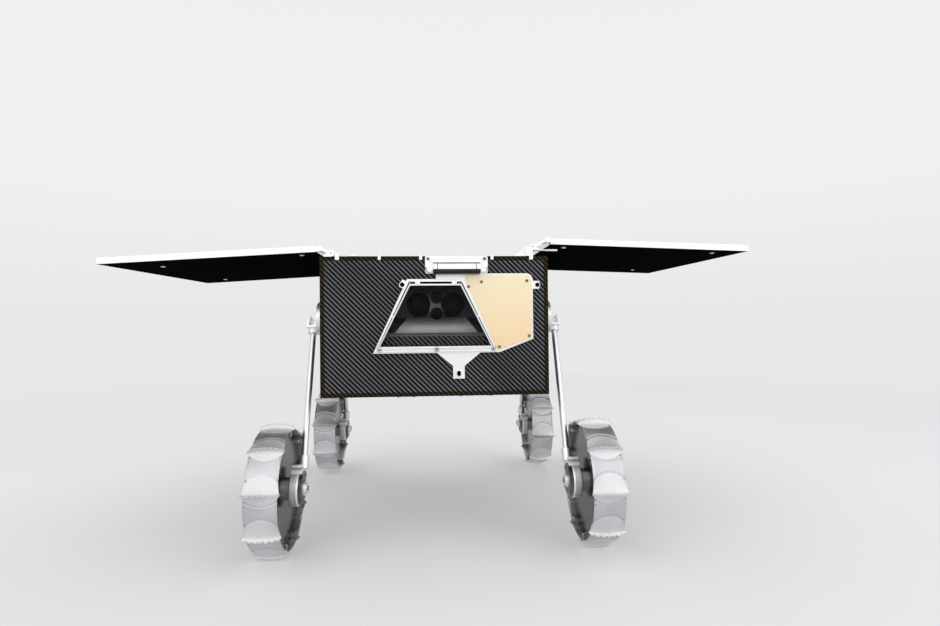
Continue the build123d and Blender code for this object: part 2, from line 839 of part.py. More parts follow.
web_level = tread_width / 2 - web_inset
with BuildPart() as web:
    Cylinder(hub_radius, hub_length)
    for level in (-web_level, web_level):
        with BuildSketch(Plane.XY.offset(level - web_sheet / 2)):
            Circle(rim_radius - rim_sheet)
        extrude(amount=web_sheet)
    with PolarLocations(rim_radius - rim_sheet - clip_size[0] / 2, petal_count):
        with Locations((0, 0, -web_level - web_sheet / 2 - clip_size[2] / 2)):
            Box(*clip_size)
    with BuildSketch(Plane.XY.offset(-hub_length / 2)):
        Circle(axle_radius + running_fit)
    extrude(amount=hub_length - hub_cap + running_gap / 2, mode=Mode.SUBTRACT)

for name, side, end, petal_turn in corners:
    hub_y = shoulder_y + leg_length * sin(radians(lean_of(petal_turn)))
    hub = Plane(origin=(wheel_x, end * hub_y, hub_height(petal_turn)), x_dir=(0, 1, 0), z_dir=(1, 0, 0))
    for piece_name, piece in {"rim": rim, "web": web}.items():
        placed = piece.part.rotate(Axis.Z, 180 - petal_turn).moved(hub.location)
        save(mirrored(placed, side), f"wheel_{name}_{piece_name}")
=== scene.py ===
"""Looks of the planetary rover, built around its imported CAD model. Lengths are in metres."""

import random
from math import cos, hypot, pi, radians, sin

import bmesh
import bpy
from mathutils import Matrix, Vector, noise

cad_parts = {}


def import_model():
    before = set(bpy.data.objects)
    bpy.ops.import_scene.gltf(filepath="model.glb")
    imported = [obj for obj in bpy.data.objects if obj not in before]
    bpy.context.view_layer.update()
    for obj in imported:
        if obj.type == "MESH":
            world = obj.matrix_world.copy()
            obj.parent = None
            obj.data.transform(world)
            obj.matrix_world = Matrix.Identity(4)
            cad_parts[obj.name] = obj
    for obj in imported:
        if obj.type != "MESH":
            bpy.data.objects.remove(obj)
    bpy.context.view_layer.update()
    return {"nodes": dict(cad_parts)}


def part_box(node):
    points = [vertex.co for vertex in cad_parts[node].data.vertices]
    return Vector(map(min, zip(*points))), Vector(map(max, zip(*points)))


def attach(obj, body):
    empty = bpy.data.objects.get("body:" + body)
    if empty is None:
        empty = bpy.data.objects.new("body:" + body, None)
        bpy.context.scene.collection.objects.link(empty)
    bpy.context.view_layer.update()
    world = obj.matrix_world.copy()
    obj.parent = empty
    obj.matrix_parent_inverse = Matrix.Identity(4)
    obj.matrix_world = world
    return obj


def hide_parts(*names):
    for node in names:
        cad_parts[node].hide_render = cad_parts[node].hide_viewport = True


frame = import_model()
MM = 0.001

# The photograph's camera, in the rover's frame
CAMERA_PLACE = (-6.8 * MM, -1156.3 * MM, 360.9 * MM)
CAMERA_YAW = -3.907
CAMERA_PITCH = 0.805
CAMERA_ROLL = 0.547
FOCAL_PIXELS = 565.5
IMAGE_WIDTH = 940
SENSOR_WIDTH = 36.0

# Places taken from the frame
front_low, front_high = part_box("front_panel")
rear_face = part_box("rear_panel")[1].y
BODY_TOP = front_high.z
BODY_BOTTOM = front_low.z
FRONT = front_low.y
HALF_WIDTH = front_high.x
PANEL = front_high.y - front_low.y

CORNERS = [
    # name, side, end, angle of the first fan, from forwards towards up
    ("front_left", -1, -1, 90.3),
    ("front_right", 1, -1, 82.4),
    ("rear_left", -1, 1, 95.2),
    ("rear_right", 1, 1, 70.1),
]

# Places on the front: across, below the body's top and out from the face; in millimetres without MM
FRAME_FRONT_OUT = 11.0
GROOVE_TOP = (42.109, 43.95)
GROOVE_FOOT = (93.9, 150.35)
GROOVE_WIDTH = 1.8
RADIATOR_OUT = 4.5
LATCH_OUT = 3.0
FRAME_SCREWS = ((-89.8, 150.6), (1.4, 150.6), (92.5, 150.6), (-40.0, 43.6), (40.0, 43.6))
RADIATOR_SCREWS = ((74.7, 42.4), (53.8, 50.1), (149.2, 40.9), (152.2, 130.8), (103.1, 148.3))
LATCH_SCREWS = ((-11.6, 4.6), (-11.6, 24.4), (80.4, 4.6), (80.4, 24.4))
EAR_HOLES = (
    # across, drop, out, radius, height over width
    (-53.0, 46.9, 11.0, 3.9, 1.0),
    (166.8, 47.6, 3.0, 3.9, 1.0),
    (37.0, 190.6, 3.0, 3.6, 1.35),
)
ROLLER_JOINT = 31.0 * MM
CAMERA_X = (-28.2, 29.0)
CAMERA_DROP = 77.5
CAMERA_OUT = -30.0
LENS_PROUD = 4.8
SENSOR_X = 2.0
SENSOR_DROPS = (66.0, 93.0)
SENSOR_OUT = -27.0
RAIL_TOP_DROP = 124.6
SILL_TOP_DROP = 128.5
SILL_FOOT_DROP = 145.5
SILL_OUT = -9.0
BENCH_FRONT_DROP = 128.0
BENCH_BACK_DROP = 99.5
BENCH_BACK = 81.0 * MM
BENCH_PLATE = ((-68.0, 0.03), (71.0, 0.03), (54.0, 0.97), (-49.2, 0.97))
FORWARD = (0, -1, 0)

# Wheel sheets, whose ends bend out at curved creases and meet as fans; roots and gaps are in degrees
FAN_COUNT = 9
FAN_STEP = 360 / FAN_COUNT
RIM_RADIUS = 92.0 * MM
NOTCH_RADIUS = 101.0 * MM
CORNER_RADIUS = 93.5 * MM
RIM_HALF_WIDTH = 24.0 * MM
SCALLOPS = 7
SCALLOP_DEPTH = 3.4 * MM
CREASE_DEPTH = 0.9 * MM
SHEET = 0.8 * MM
RIDGE_GAP = 0.5
LIP_SHARE = 0.8
SWEEP_RISE = 0.35
ARCH_POWERS = (2.2, 0.7)
LOBE_POWER = 0.8
LOBE_MEAN = 0.7
LOBE_SPREAD = 0.3
LOBE_NOISE = (3.1, 0.37)
LOBE_END = 0.08
FOLD_WIDTH = 0.08
FLARE_POWER = 1.5
LONG_ROOT = (19.5, 11.5)
SHORT_ROOT = (9.5, 3.5)


def camera():
    """The camera at the photograph's viewing angle."""
    data = bpy.data.cameras.new("camera")
    data.sensor_width = SENSOR_WIDTH
    data.lens = FOCAL_PIXELS / IMAGE_WIDTH * SENSOR_WIDTH
    item = bpy.data.objects.new("camera", data)
    bpy.context.collection.objects.link(item)
    turn = (Matrix.Rotation(radians(CAMERA_YAW), 4, "Z")
            @ Matrix.Rotation(radians(CAMERA_PITCH), 4, "X")
            @ Matrix.Rotation(radians(CAMERA_ROLL), 4, "Y")
            @ Matrix.Rotation(radians(90), 4, "X"))
    item.matrix_world = Matrix.Translation(CAMERA_PLACE) @ turn
    bpy.context.scene.camera = item


LAMPS = (
    # name, place, size, watts
    ("key", (-1.2, -2.4, 2.2), (5.0, 3.6), 41),
    ("fill", (2.2, -1.6, 1.4), (2.2, 2.0), 17),
    ("top", (0.0, 0.6, 2.6), (3.8, 3.4), 34),
)
LAMP_TARGET = Vector((0, 0, 0.3))


def area_light(name, place, size, power):
    """A soft white rectangular lamp that points at the rover."""
    data = bpy.data.lights.new(name, "AREA")
    data.shape = "RECTANGLE"
    data.size, data.size_y = size
    data.energy = power
    item = bpy.data.objects.new(name, data)
    bpy.context.collection.objects.link(item)
    item.visible_camera = False
    item.location = place
    item.rotation_euler = (LAMP_TARGET - Vector(place)).to_track_quat("-Z", "Y").to_euler()


def add(tree, kind, **values):
    """A shader node with its settings and unlinked inputs."""
    node = tree.nodes.new(kind)
    for key, value in values.items():
        if hasattr(node, key):
            setattr(node, key, value)
        else:
            node.inputs[key.replace("_", " ")].default_value = value
    return node


def maths(tree, operation, *inputs, clamp=False):
    """A Math node on sockets and plain numbers; returns its output socket."""
    node = tree.nodes.new("ShaderNodeMath")
    node.operation = operation
    node.use_clamp = clamp
    for socket, value in zip(node.inputs, inputs):
        if isinstance(value, (int, float)):
            socket.default_value = value
        else:
            tree.links.new(value, socket)
    return node.outputs[0]


HORIZON = (0.80, 0.80, 0.81)
SKY_GREYS = ((0.62, 0.88), (0.76, 0.86), (0.90, 0.5), (1.0, 0.4))
STUDIO_LIGHT = (0.96, 0.98, 1.0, 1)
STUDIO_STRENGTH = 0.6


def seen_directly(tree):
    """1 for what the camera, gloss and glass see, and 0 for what lights the rover."""
    path = add(tree, "ShaderNodeLightPath")
    seen = maths(tree, "MAXIMUM", path.outputs["Is Camera Ray"], path.outputs["Is Glossy Ray"])
    return maths(tree, "MAXIMUM", seen, path.outputs["Is Transmission Ray"])


def mix_shaders(tree, share, first, second, out):
    """Two shaders mixed by a share, on the tree's output node."""
    mix = add(tree, "ShaderNodeMixShader")
    for socket, source in zip(mix.inputs, (share, first.outputs[0], second.outputs[0])):
        tree.links.new(source, socket)
    tree.links.new(mix.outputs[0], out.inputs["Surface"])


def world():
    """Soft studio surroundings, and a pale background for what the camera, gloss and glass see."""
    item = bpy.data.worlds.new("studio")
    bpy.context.scene.world = item
    item.use_nodes = True
    tree = item.node_tree
    tree.nodes.clear()
    out = add(tree, "ShaderNodeOutputWorld")
    light = add(tree, "ShaderNodeBackground", Color=STUDIO_LIGHT, Strength=STUDIO_STRENGTH)
    pale = add(tree, "ShaderNodeBackground", Strength=1.0)
    place = add(tree, "ShaderNodeTexCoord")
    parts = add(tree, "ShaderNodeSeparateXYZ")
    tree.links.new(place.outputs["Generated"], parts.inputs[0])
    height = maths(tree, "MULTIPLY_ADD", parts.outputs["Z"], 0.5, 0.5)
    sky = ramp_of(tree, height, (0.50, HORIZON), *((level, grey(value)) for level, value in SKY_GREYS))
    tree.links.new(sky, pale.inputs["Color"])
    mix_shaders(tree, seen_directly(tree), light, pale, out)


def blank(name):
    """A new material with a Principled shader; returns material, tree and shader."""
    item = bpy.data.materials.new(name)
    item.use_nodes = True
    tree = item.node_tree
    return item, tree, tree.nodes["Principled BSDF"]


def set_values(shader, **values):
    """Plain values on the shader's own sockets."""
    for key, value in values.items():
        shader.inputs[key.replace("_", " ")].default_value = value


def object_place(tree):
    return add(tree, "ShaderNodeTexCoord").outputs["Object"]


def object_axes(tree):
    """The X, Y and Z outputs of the piece's own coordinates."""
    parts = add(tree, "ShaderNodeSeparateXYZ")
    tree.links.new(object_place(tree), parts.inputs[0])
    return parts.outputs


def noise_at(tree, scale, detail=3.0, roughness=0.55, stretch=None):
    """Noise in the piece's own coordinates, in cycles to the metre, stretched along an axis if asked."""
    place = object_place(tree)
    if stretch:
        mapping = add(tree, "ShaderNodeMapping")
        mapping.inputs["Scale"].default_value = stretch
        tree.links.new(place, mapping.inputs["Vector"])
        place = mapping.outputs[0]
    node = add(tree, "ShaderNodeTexNoise", Scale=scale, Detail=detail, Roughness=roughness)
    tree.links.new(place, node.inputs["Vector"])
    return node.outputs["Fac"]


def ramp_of(tree, value, *stops):
    """A colour ramp of (position, colour) stops."""
    node = add(tree, "ShaderNodeValToRGB")
    elements = node.color_ramp.elements
    while len(elements) < len(stops):
        elements.new(0.5)
    for element, (position, colour) in zip(elements, stops):
        element.position = position
        element.color = (*colour, 1)
    tree.links.new(value, node.inputs[0])
    return node.outputs[0]


def tint(tree, shader, value, *stops):
    """The shader's base colour by a colour ramp."""
    tree.links.new(ramp_of(tree, value, *stops), shader.inputs["Base Color"])


def roughen(tree, shader, field, roughness, spread):
    """The shader's roughness, spread about a middle value."""
    rough = maths(tree, "MULTIPLY_ADD", field, spread, roughness - spread / 2)
    tree.links.new(rough, shader.inputs["Roughness"])


def bump_of(tree, shader, height, strength, distance):
    node = add(tree, "ShaderNodeBump", Strength=strength, Distance=distance)
    tree.links.new(height, node.inputs["Height"])
    tree.links.new(node.outputs[0], shader.inputs["Normal"])


def grey(value):
    return (value, value, value)


def metal(name, light, dark, roughness, spread, scale, stretch=None, bump=0.15, depth=0.0002):
    """Bare metal with a soft variation of colour and roughness."""
    item, tree, shader = blank(name)
    set_values(shader, Metallic=1.0)
    field = noise_at(tree, scale, 5.0, 0.6, stretch)
    tint(tree, shader, field, (0.3, dark), (0.7, light))
    roughen(tree, shader, field, roughness, spread)
    bump_of(tree, shader, field, bump, depth)
    return item


TOW = 2.03 * MM
TWILL_STEPS = 4
BAND_POWER = 3.2
FIBRE_SCALE = 1100.0
CLOUD_SCALE = 7.0


def twill(name, first, second, dark=(0.003, 0.003, 0.004), light=(0.17, 0.17, 0.175), gloss=0.5):
    """Carbon-fibre 2x2 twill on the plane of two axes: tows over two, under two, under clear resin. The
    weave is real; the light bands on the tows that lie across are painted sheen.
    """
    item, tree, shader = blank(name)
    axes = object_axes(tree)
    across = maths(tree, "DIVIDE", axes[first], TOW)
    along = maths(tree, "DIVIDE", axes[second], TOW)
    step = maths(tree, "ADD", maths(tree, "FLOOR", across), maths(tree, "FLOOR", along))
    phase = maths(tree, "FLOORED_MODULO", step, TWILL_STEPS)
    lies_across = maths(tree, "LESS_THAN", phase, TWILL_STEPS / 2 - 0.5)
    mix = add(tree, "ShaderNodeMix", data_type="FLOAT")
    tree.links.new(lies_across, mix.inputs[0])
    tree.links.new(maths(tree, "FRACT", across), mix.inputs[2])
    tree.links.new(maths(tree, "FRACT", along), mix.inputs[3])
    crown = maths(tree, "SINE", maths(tree, "MULTIPLY", mix.outputs[0], pi))
    slope = maths(tree, "FRACT", maths(tree, "DIVIDE", maths(tree, "ADD", across, along), TWILL_STEPS))
    band = maths(tree, "SINE", maths(tree, "MULTIPLY", slope, pi))
    band = maths(tree, "POWER", band, BAND_POWER)
    fibre = noise_at(tree, FIBRE_SCALE, 2.0, 0.6)
    cloud = noise_at(tree, CLOUD_SCALE, 2.0, 0.5)
    # Painted sheen: a light base colour in thin diagonal bands on the tows that lie across, standing in
    # for their reflection.
    shade = maths(tree, "MULTIPLY", maths(tree, "MULTIPLY", lies_across, band),
                  maths(tree, "MULTIPLY_ADD", fibre, 0.6, 0.7))
    shade = maths(tree, "MULTIPLY", shade, maths(tree, "MULTIPLY_ADD", cloud, 1.1, 0.4))
    tint(tree, shader, shade, (0.0, dark), (0.9, light))
    set_values(shader, Roughness=gloss, Specular_IOR_Level=0.07)
    bump_of(tree, shader, crown, 0.3, 0.0001)
    return item


def graded(name, axis, start, span, patches, fine, stops, **values):
    """A coating whose colour changes along an axis, with faint patches and a fine grain; on the bay
    plate that change is painted light.
    """
    item, tree, shader = blank(name)
    beyond = maths(tree, "SUBTRACT", object_axes(tree)[axis], start)
    share = maths(tree, "DIVIDE", beyond, span)
    uneven = maths(tree, "MULTIPLY_ADD", noise_at(tree, *patches), 0.3, -0.15)
    tint(tree, shader, maths(tree, "ADD", share, uneven), *stops)
    set_values(shader, **values)
    bump_of(tree, shader, noise_at(tree, fine, 2.0), 0.05, 0.0001)
    return item


def radiator_finish():
    """Smooth cream coating, a little pinker low down."""
    low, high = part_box("radiator_plate")
    stops = ((0.0, (0.95, 0.7, 0.43)), (1.0, (0.96, 0.83, 0.57)))
    return graded("peach_gold", "Z", low.z, high.z - low.z, (14.0, 2.0), 400.0, stops,
                  Roughness=0.42, Metallic=0.0, Coat_Weight=0.15, Coat_Roughness=0.3)


def bay_plate_with_painted_light():
    """Pale paint with faint smears; it turns whiter towards the back of the bay as painted light that
    offsets the shade there.
    """
    # Painted light: grey at the front, near white at the back, to lift the bay's shade.
    stops = ((0.0, grey(0.42)), (0.3, grey(0.9)), (1.0, grey(0.97)))
    return graded("bay_plate", "Y", FRONT + PANEL, BENCH_BACK - PANEL, (30.0, 3.0), 300.0, stops,
                  Roughness=0.55, Specular_IOR_Level=0.3)


PAINT_CONTRAST = 0.25


def painted(name, colour, roughness, scale=60.0, specular=0.5):
    """A coloured coating whose shade and gloss vary softly."""
    item, tree, shader = blank(name)
    field = noise_at(tree, scale, 4.0, 0.6)
    dark = tuple(c * (1 - PAINT_CONTRAST) for c in colour)
    light = tuple(c * (1 + PAINT_CONTRAST) for c in colour)
    tint(tree, shader, field, (0.3, dark), (0.7, light))
    roughen(tree, shader, field, roughness, 0.2)
    set_values(shader, Specular_IOR_Level=specular)
    bump_of(tree, shader, noise_at(tree, scale * 8, 2.0), 0.08, 0.0002)
    return item


def glass():
    """Clear, slightly smoked window."""
    item, tree, shader = blank("window_glass")
    field = noise_at(tree, 12.0, 2.0)
    tint(tree, shader, field, (0.3, (0.88, 0.89, 0.90)), (0.7, (0.94, 0.95, 0.96)))
    set_values(shader, Roughness=0.02, Transmission_Weight=1.0, IOR=1.12)
    return item


FINGER_PITCH = 1.5 * MM
FINGER_SHARE = 0.1
BUS_PITCH = 39 * MM
BUS_SHARE = 0.03


def solar_cell():
    """Dark blue cells under cover glass, with fine silver grid lines."""
    item, tree, shader = blank("solar_cell")
    axes = object_axes(tree)
    finger = maths(tree, "FRACT", maths(tree, "DIVIDE", axes["Y"], FINGER_PITCH))
    finger = maths(tree, "LESS_THAN", finger, FINGER_SHARE)
    bus = maths(tree, "FRACT", maths(tree, "DIVIDE", axes["X"], BUS_PITCH))
    bus = maths(tree, "LESS_THAN", bus, BUS_SHARE)
    lines = maths(tree, "MAXIMUM", finger, bus)
    field = noise_at(tree, 25.0, 3.0)
    blue = ramp_of(tree, field, (0.3, (0.006, 0.012, 0.05)), (0.7, (0.018, 0.035, 0.12)))
    mix = add(tree, "ShaderNodeMix", data_type="RGBA")
    tree.links.new(maths(tree, "MULTIPLY", lines, 0.6), mix.inputs[0])
    tree.links.new(blue, mix.inputs[6])
    mix.inputs[7].default_value = (0.45, 0.47, 0.5, 1)
    tree.links.new(mix.outputs[2], shader.inputs["Base Color"])
    set_values(shader, Roughness=0.4, Specular_IOR_Level=0.25, Coat_Weight=0.25, Coat_Roughness=0.15)
    return item


def polished(name, light, dark, roughness, scale):
    """Bright sheet or bar, rubbed smooth, with broad soft shades and fine rubbing marks."""
    item, tree, shader = blank(name)
    set_values(shader, Metallic=1.0)
    broad = noise_at(tree, scale, 1.0, 0.4)
    fine = noise_at(tree, scale * 30, 3.0, 0.6)
    tone = maths(tree, "MULTIPLY_ADD", fine, 0.3, maths(tree, "MULTIPLY", broad, 0.7))
    tint(tree, shader, tone, (0.3, dark), (0.7, light))
    roughen(tree, shader, broad, roughness, 0.14)
    height = maths(tree, "MULTIPLY_ADD", fine, 0.02, broad)
    bump_of(tree, shader, height, 0.5, 0.0016)
    return item


# The tape's dark brown is its own colour; its light brown stripes are painted glints on the tows.
TAPE_TONES = {"dark": (0.006, 0.004, 0.0015), "light": (0.05, 0.034, 0.013), "gloss": 0.4}


def make_materials():
    """All finishes, by name."""
    woven = {}
    for plane, axes in (("front", "XZ"), ("side", "YZ"), ("flat", "XY")):
        woven["twill_" + plane] = twill("twill_" + plane, *axes)
        woven["tape_" + plane] = twill("edge_tape_" + plane, *axes, **TAPE_TONES)
    return woven | {
        "aluminium": metal("machined_aluminium", grey(0.66), grey(0.5), 0.3, 0.14, 90.0, bump=0.08),
        "bright": metal("bright_aluminium", grey(0.93), grey(0.85), 0.46, 0.12, 50.0, bump=0.06),
        "tube": metal("satin_tube", grey(0.78), grey(0.7), 0.36, 0.1, 40.0, (8, 8, 1), bump=0.01),
        "screw": metal("steel_screw", grey(0.5), grey(0.3), 0.28, 0.1, 200.0, bump=0.05),
        "brass": metal("brown_screw", (0.34, 0.22, 0.10), (0.16, 0.09, 0.04), 0.35, 0.1, 200.0),
        "drum": metal("motor_drum", grey(0.92), grey(0.8), 0.46, 0.1, 60.0, bump=0.04),
        # Painted shade for the roller's underside.
        "roller_painted_shade": metal("roller_underside_painted_shade", (0.07, 0.055, 0.05), (0.035, 0.028, 0.026), 0.5, 0.1, 90.0),
        "frame_screw": metal("dark_screw", grey(0.24), grey(0.12), 0.4, 0.1, 200.0, bump=0.05),
        # Dark finish of the motor's coned face, where it is painted shade on the drum's housing, and of
        # the plug on its nose.
        "motor_dark": metal("motor_face", grey(0.17), grey(0.09), 0.36, 0.12, 60.0, bump=0.06),
        "sheet": polished("petal_sheet", (0.66, 0.665, 0.68), (0.5, 0.505, 0.52), 0.45, 22.0),
        # The fans are the sheet's own bent ends; their lighter copy of its metal is painted light.
        "fan": polished("fan_sheet_painted_light", (0.8, 0.8, 0.81), (0.64, 0.64, 0.65), 0.58, 22.0),
        "clip": polished("clip_sheet", grey(0.88), grey(0.6), 0.3, 80.0),
        "disc": metal("dark_disc", grey(0.05), grey(0.02), 0.2, 0.12, 18.0, bump=0.25, depth=0.0006),
        "peach": radiator_finish(),
        "black": painted("black_anodised", (0.012, 0.012, 0.013), 0.42),
        "seal": painted("dark_seal", (0.012, 0.012, 0.012), 0.6, 200.0),
        "bay_grey": painted("bay_grey", (0.055, 0.055, 0.058), 0.5),
        "bay_back": painted("bay_back", (0.11, 0.11, 0.115), 0.5, specular=0.2),
        # Painted light: the bay plate is whiter towards the back to offset the bay's shade.
        "bay_plate_painted_light": bay_plate_with_painted_light(),
        "lens": painted("lens", (0.006, 0.006, 0.008), 0.5, 2.0, specular=0.02),
        "lens_black": painted("lens_black", (0.003, 0.003, 0.003), 0.7, 3.0, specular=0.0),
        "wing_dark": painted("wing_underside", (0.004, 0.004, 0.0045), 0.8, 20.0, specular=0.0),
        "wing_border": painted("wing_top_border", (0.045, 0.046, 0.05), 0.4, 40.0),
        "glass": glass(),
        "cell": solar_cell(),
    }


WELD = 1e-6
FLAT_LIMIT = 0.5
TURN_LIMIT = 35.0


def mesh_of(form, name):
    """A plain mesh from a bmesh, which is freed."""
    mesh = bpy.data.meshes.new(name)
    form.to_mesh(mesh)
    form.free()
    return mesh


def link(mesh, name):
    item = bpy.data.objects.new(name, mesh)
    bpy.context.collection.objects.link(item)
    return item


def smooth_by_angle(mesh):
    """Smooth faces with sharp edges where the surface really turns."""
    form = bmesh.new()
    form.from_mesh(mesh)
    for face in form.faces:
        face.smooth = True
    for edge in form.edges:
        edge.smooth = edge.calc_face_angle(pi) < radians(TURN_LIMIT)
    form.to_mesh(mesh)
    form.free()


def finished_mesh(form, name, finish):
    """A mesh from a bmesh; finish is a material's name, or gives each face's."""
    names = []
    for face in form.faces:
        kind = finish(face) if callable(finish) else finish
        if kind not in names:
            names.append(kind)
        face.material_index = names.index(kind)
    mesh = mesh_of(form, name)
    for kind in names:
        mesh.materials.append(materials[kind])
    smooth_by_angle(mesh)
    return mesh


def soften(item, width, harden=False):
    """Bevels a piece's edges."""
    bevel = item.modifiers.new("edges", "BEVEL")
    bevel.width = width
    bevel.segments = 2
    bevel.limit_method = "ANGLE"
    bevel.angle_limit = radians(TURN_LIMIT)
    bevel.harden_normals = harden


def dress(node, body, finish, edge=0.0):
    """A CAD node's own shape with softened edges; finish gives each face's material name."""
    source = frame["nodes"][node]
    form = bmesh.new()
    form.from_mesh(source.data)
    bmesh.ops.remove_doubles(form, verts=form.verts, dist=WELD)
    bmesh.ops.dissolve_limit(form, angle_limit=radians(FLAT_LIMIT), verts=form.verts, edges=form.edges)
    form.normal_update()
    item = link(finished_mesh(form, node + "_look", finish), node + "_look")
    if edge:
        soften(item, edge, harden=True)
    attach(item, body)
    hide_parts(node)


def twill_by_direction(face):
    """Twill laid in the plane that a face lies in; the narrow edges of a panel are taped."""
    x, y, z = (abs(v) for v in face.normal)
    spans = sorted(max(v.co[k] for v in face.verts) - min(v.co[k] for v in face.verts) for k in range(3))
    kind = "tape" if spans[1] < 1.5 * PANEL and spans[2] > 10 * PANEL else "twill"
    if y > max(x, z):
        return kind + "_front"
    return kind + ("_side" if x > z else "_flat")


def crest(across):
    """Radius of a fan's outline without its lobes: a low arch between its corners."""
    inner, outer = ARCH_POWERS
    return CORNER_RADIUS + (NOTCH_RADIUS - CORNER_RADIUS) * (1 - abs(across) ** inner) ** outer


def lobes(across, turn):
    """How far a fan's free edge stands out of its outline, in small rounded lobes of uneven height."""
    lobe = abs(sin(pi * SCALLOPS * (across + 1) / 2)) ** LOBE_POWER
    field = noise.noise(Vector((across * LOBE_NOISE[0], round(turn % 360) * LOBE_NOISE[1], 0)))
    uneven = LOBE_MEAN + LOBE_SPREAD * field
    return SCALLOP_DEPTH * lobe * uneven * min(1.0, (1 - abs(across)) / LOBE_END)


def root(across, reach):
    """Angle from a fan's ridge to its curved crease, at a share of the rim's half width."""
    middle, end = reach
    return end + (middle - end) * (1 - across * across)


def polar(x, radius, turn):
    """A point on a wheel from its middle: along the axle, out from it, and round from forwards to up."""
    return Vector((x, -radius * cos(radians(turn)), radius * sin(radians(turn))))


def flap_point(fan, turn, way, across, share):
    """A point on a fan's bent sheet, from its crease (share 0) to its free edge (share 1)."""
    reach = root(across, LONG_ROOT if way > 0 else SHORT_ROOT)
    x = across * RIM_HALF_WIDTH
    round_off = 1 - across * across
    fold = fan["fold"] * max(0.0, 1 - abs(across - fan["fold_place"]) / FOLD_WIDTH)
    flute = fan["flute"] * cos(pi * SCALLOPS * (across + 1))
    apart = (RIDGE_GAP + fan["gap"] * round_off) * way
    middle = turn + fan["lean"] * round_off + (fold + flute) * share + apart
    crease = polar(x, RIM_RADIUS, turn + way * reach)
    foot = polar(x, RIM_RADIUS + SWEEP_RISE * (crest(across) - RIM_RADIUS), middle)
    tip = polar(x, crest(across), middle)
    point = crease.lerp(foot, share).lerp(foot.lerp(tip, share), share)
    flare = fan["flare"][0 if across < 0 else 1] * abs(across) ** FLARE_POWER * share
    point.x += flare if across > 0 else -flare
    outward = Vector((0, point.y, point.z)).normalized()
    return point + outward * lobes(across, turn) * max(0.0, (share - LIP_SHARE) / (1 - LIP_SHARE))


FLAP_SHARES = (0.03, 0.09, 0.2, 0.36, 0.52, 0.66, 0.76, 0.82, 0.88, 0.94, 1.0)
MIDDLE_STATIONS = 14
SHEET_ROWS = 56


def sheet_stations():
    """Stations along one sheet, from one fan's free edge to the next."""
    stations = [("first", share) for share in reversed(FLAP_SHARES)]
    for number in range(MIDDLE_STATIONS + 1):
        stations.append(("middle", number / MIDDLE_STATIONS))
    return stations + [("second", share) for share in FLAP_SHARES]


HEM_START = 0.885
HEM_RAMP = 0.03
HEM_CREASE = 0.86
HEM_CREASE_WIDTH = 0.025
HEM_HEIGHT = 0.45 * MM
HEM_FADE = 1.6


def hem_height(across):
    """The folded hem along the sheet's two long edges, with the crease inside it."""
    edge = abs(across)
    if edge > HEM_START:
        return HEM_HEIGHT * min(1.0, (edge - HEM_START) / HEM_RAMP)
    return -HEM_HEIGHT * max(0.0, 1 - abs(edge - HEM_CREASE) / HEM_CREASE_WIDTH)


def wheel_fans(name):
    """Each fan of a wheel differs a little, because all were formed by hand."""
    chance = random.Random(name)
    fans = []
    for _ in range(FAN_COUNT):
        fans.append({
            "flare": (chance.uniform(3.6, 4.7) * MM, chance.uniform(3.8, 6.2) * MM),
            "fold": chance.choice((0.0, 0.8, -0.9)),
            "fold_place": chance.uniform(-0.12, 0.12),
            "lean": chance.uniform(-0.35, 0.35),
            "flute": chance.uniform(0.05, 0.15),
            "gap": chance.uniform(0.0, 0.1),
        })
    return fans


def wheel_middle(name):
    low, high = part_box(f"wheel_{name}_web")
    return (low + high) / 2


DENT = 0.3 * MM
DENT_NOISE = (0.12, 3, 2.2)


def middle_point(number, first_angle, across, share):
    """A point on the middle of a sheet, from one curved crease (share 0) to the next (share 1)."""
    start = root(across, LONG_ROOT)
    finish = FAN_STEP - root(across, SHORT_ROOT)
    angle = start + (finish - start) * share
    along, apart, aside = DENT_NOISE
    dent = noise.noise(Vector((angle * along + number * apart, across * aside, first_angle)))
    radius = RIM_RADIUS + DENT * dent * (1 - across ** 4) * sin(pi * share)
    if share in (0, 1):
        radius -= CREASE_DEPTH
    return polar(across * RIM_HALF_WIDTH, radius, first_angle + number * FAN_STEP + angle)


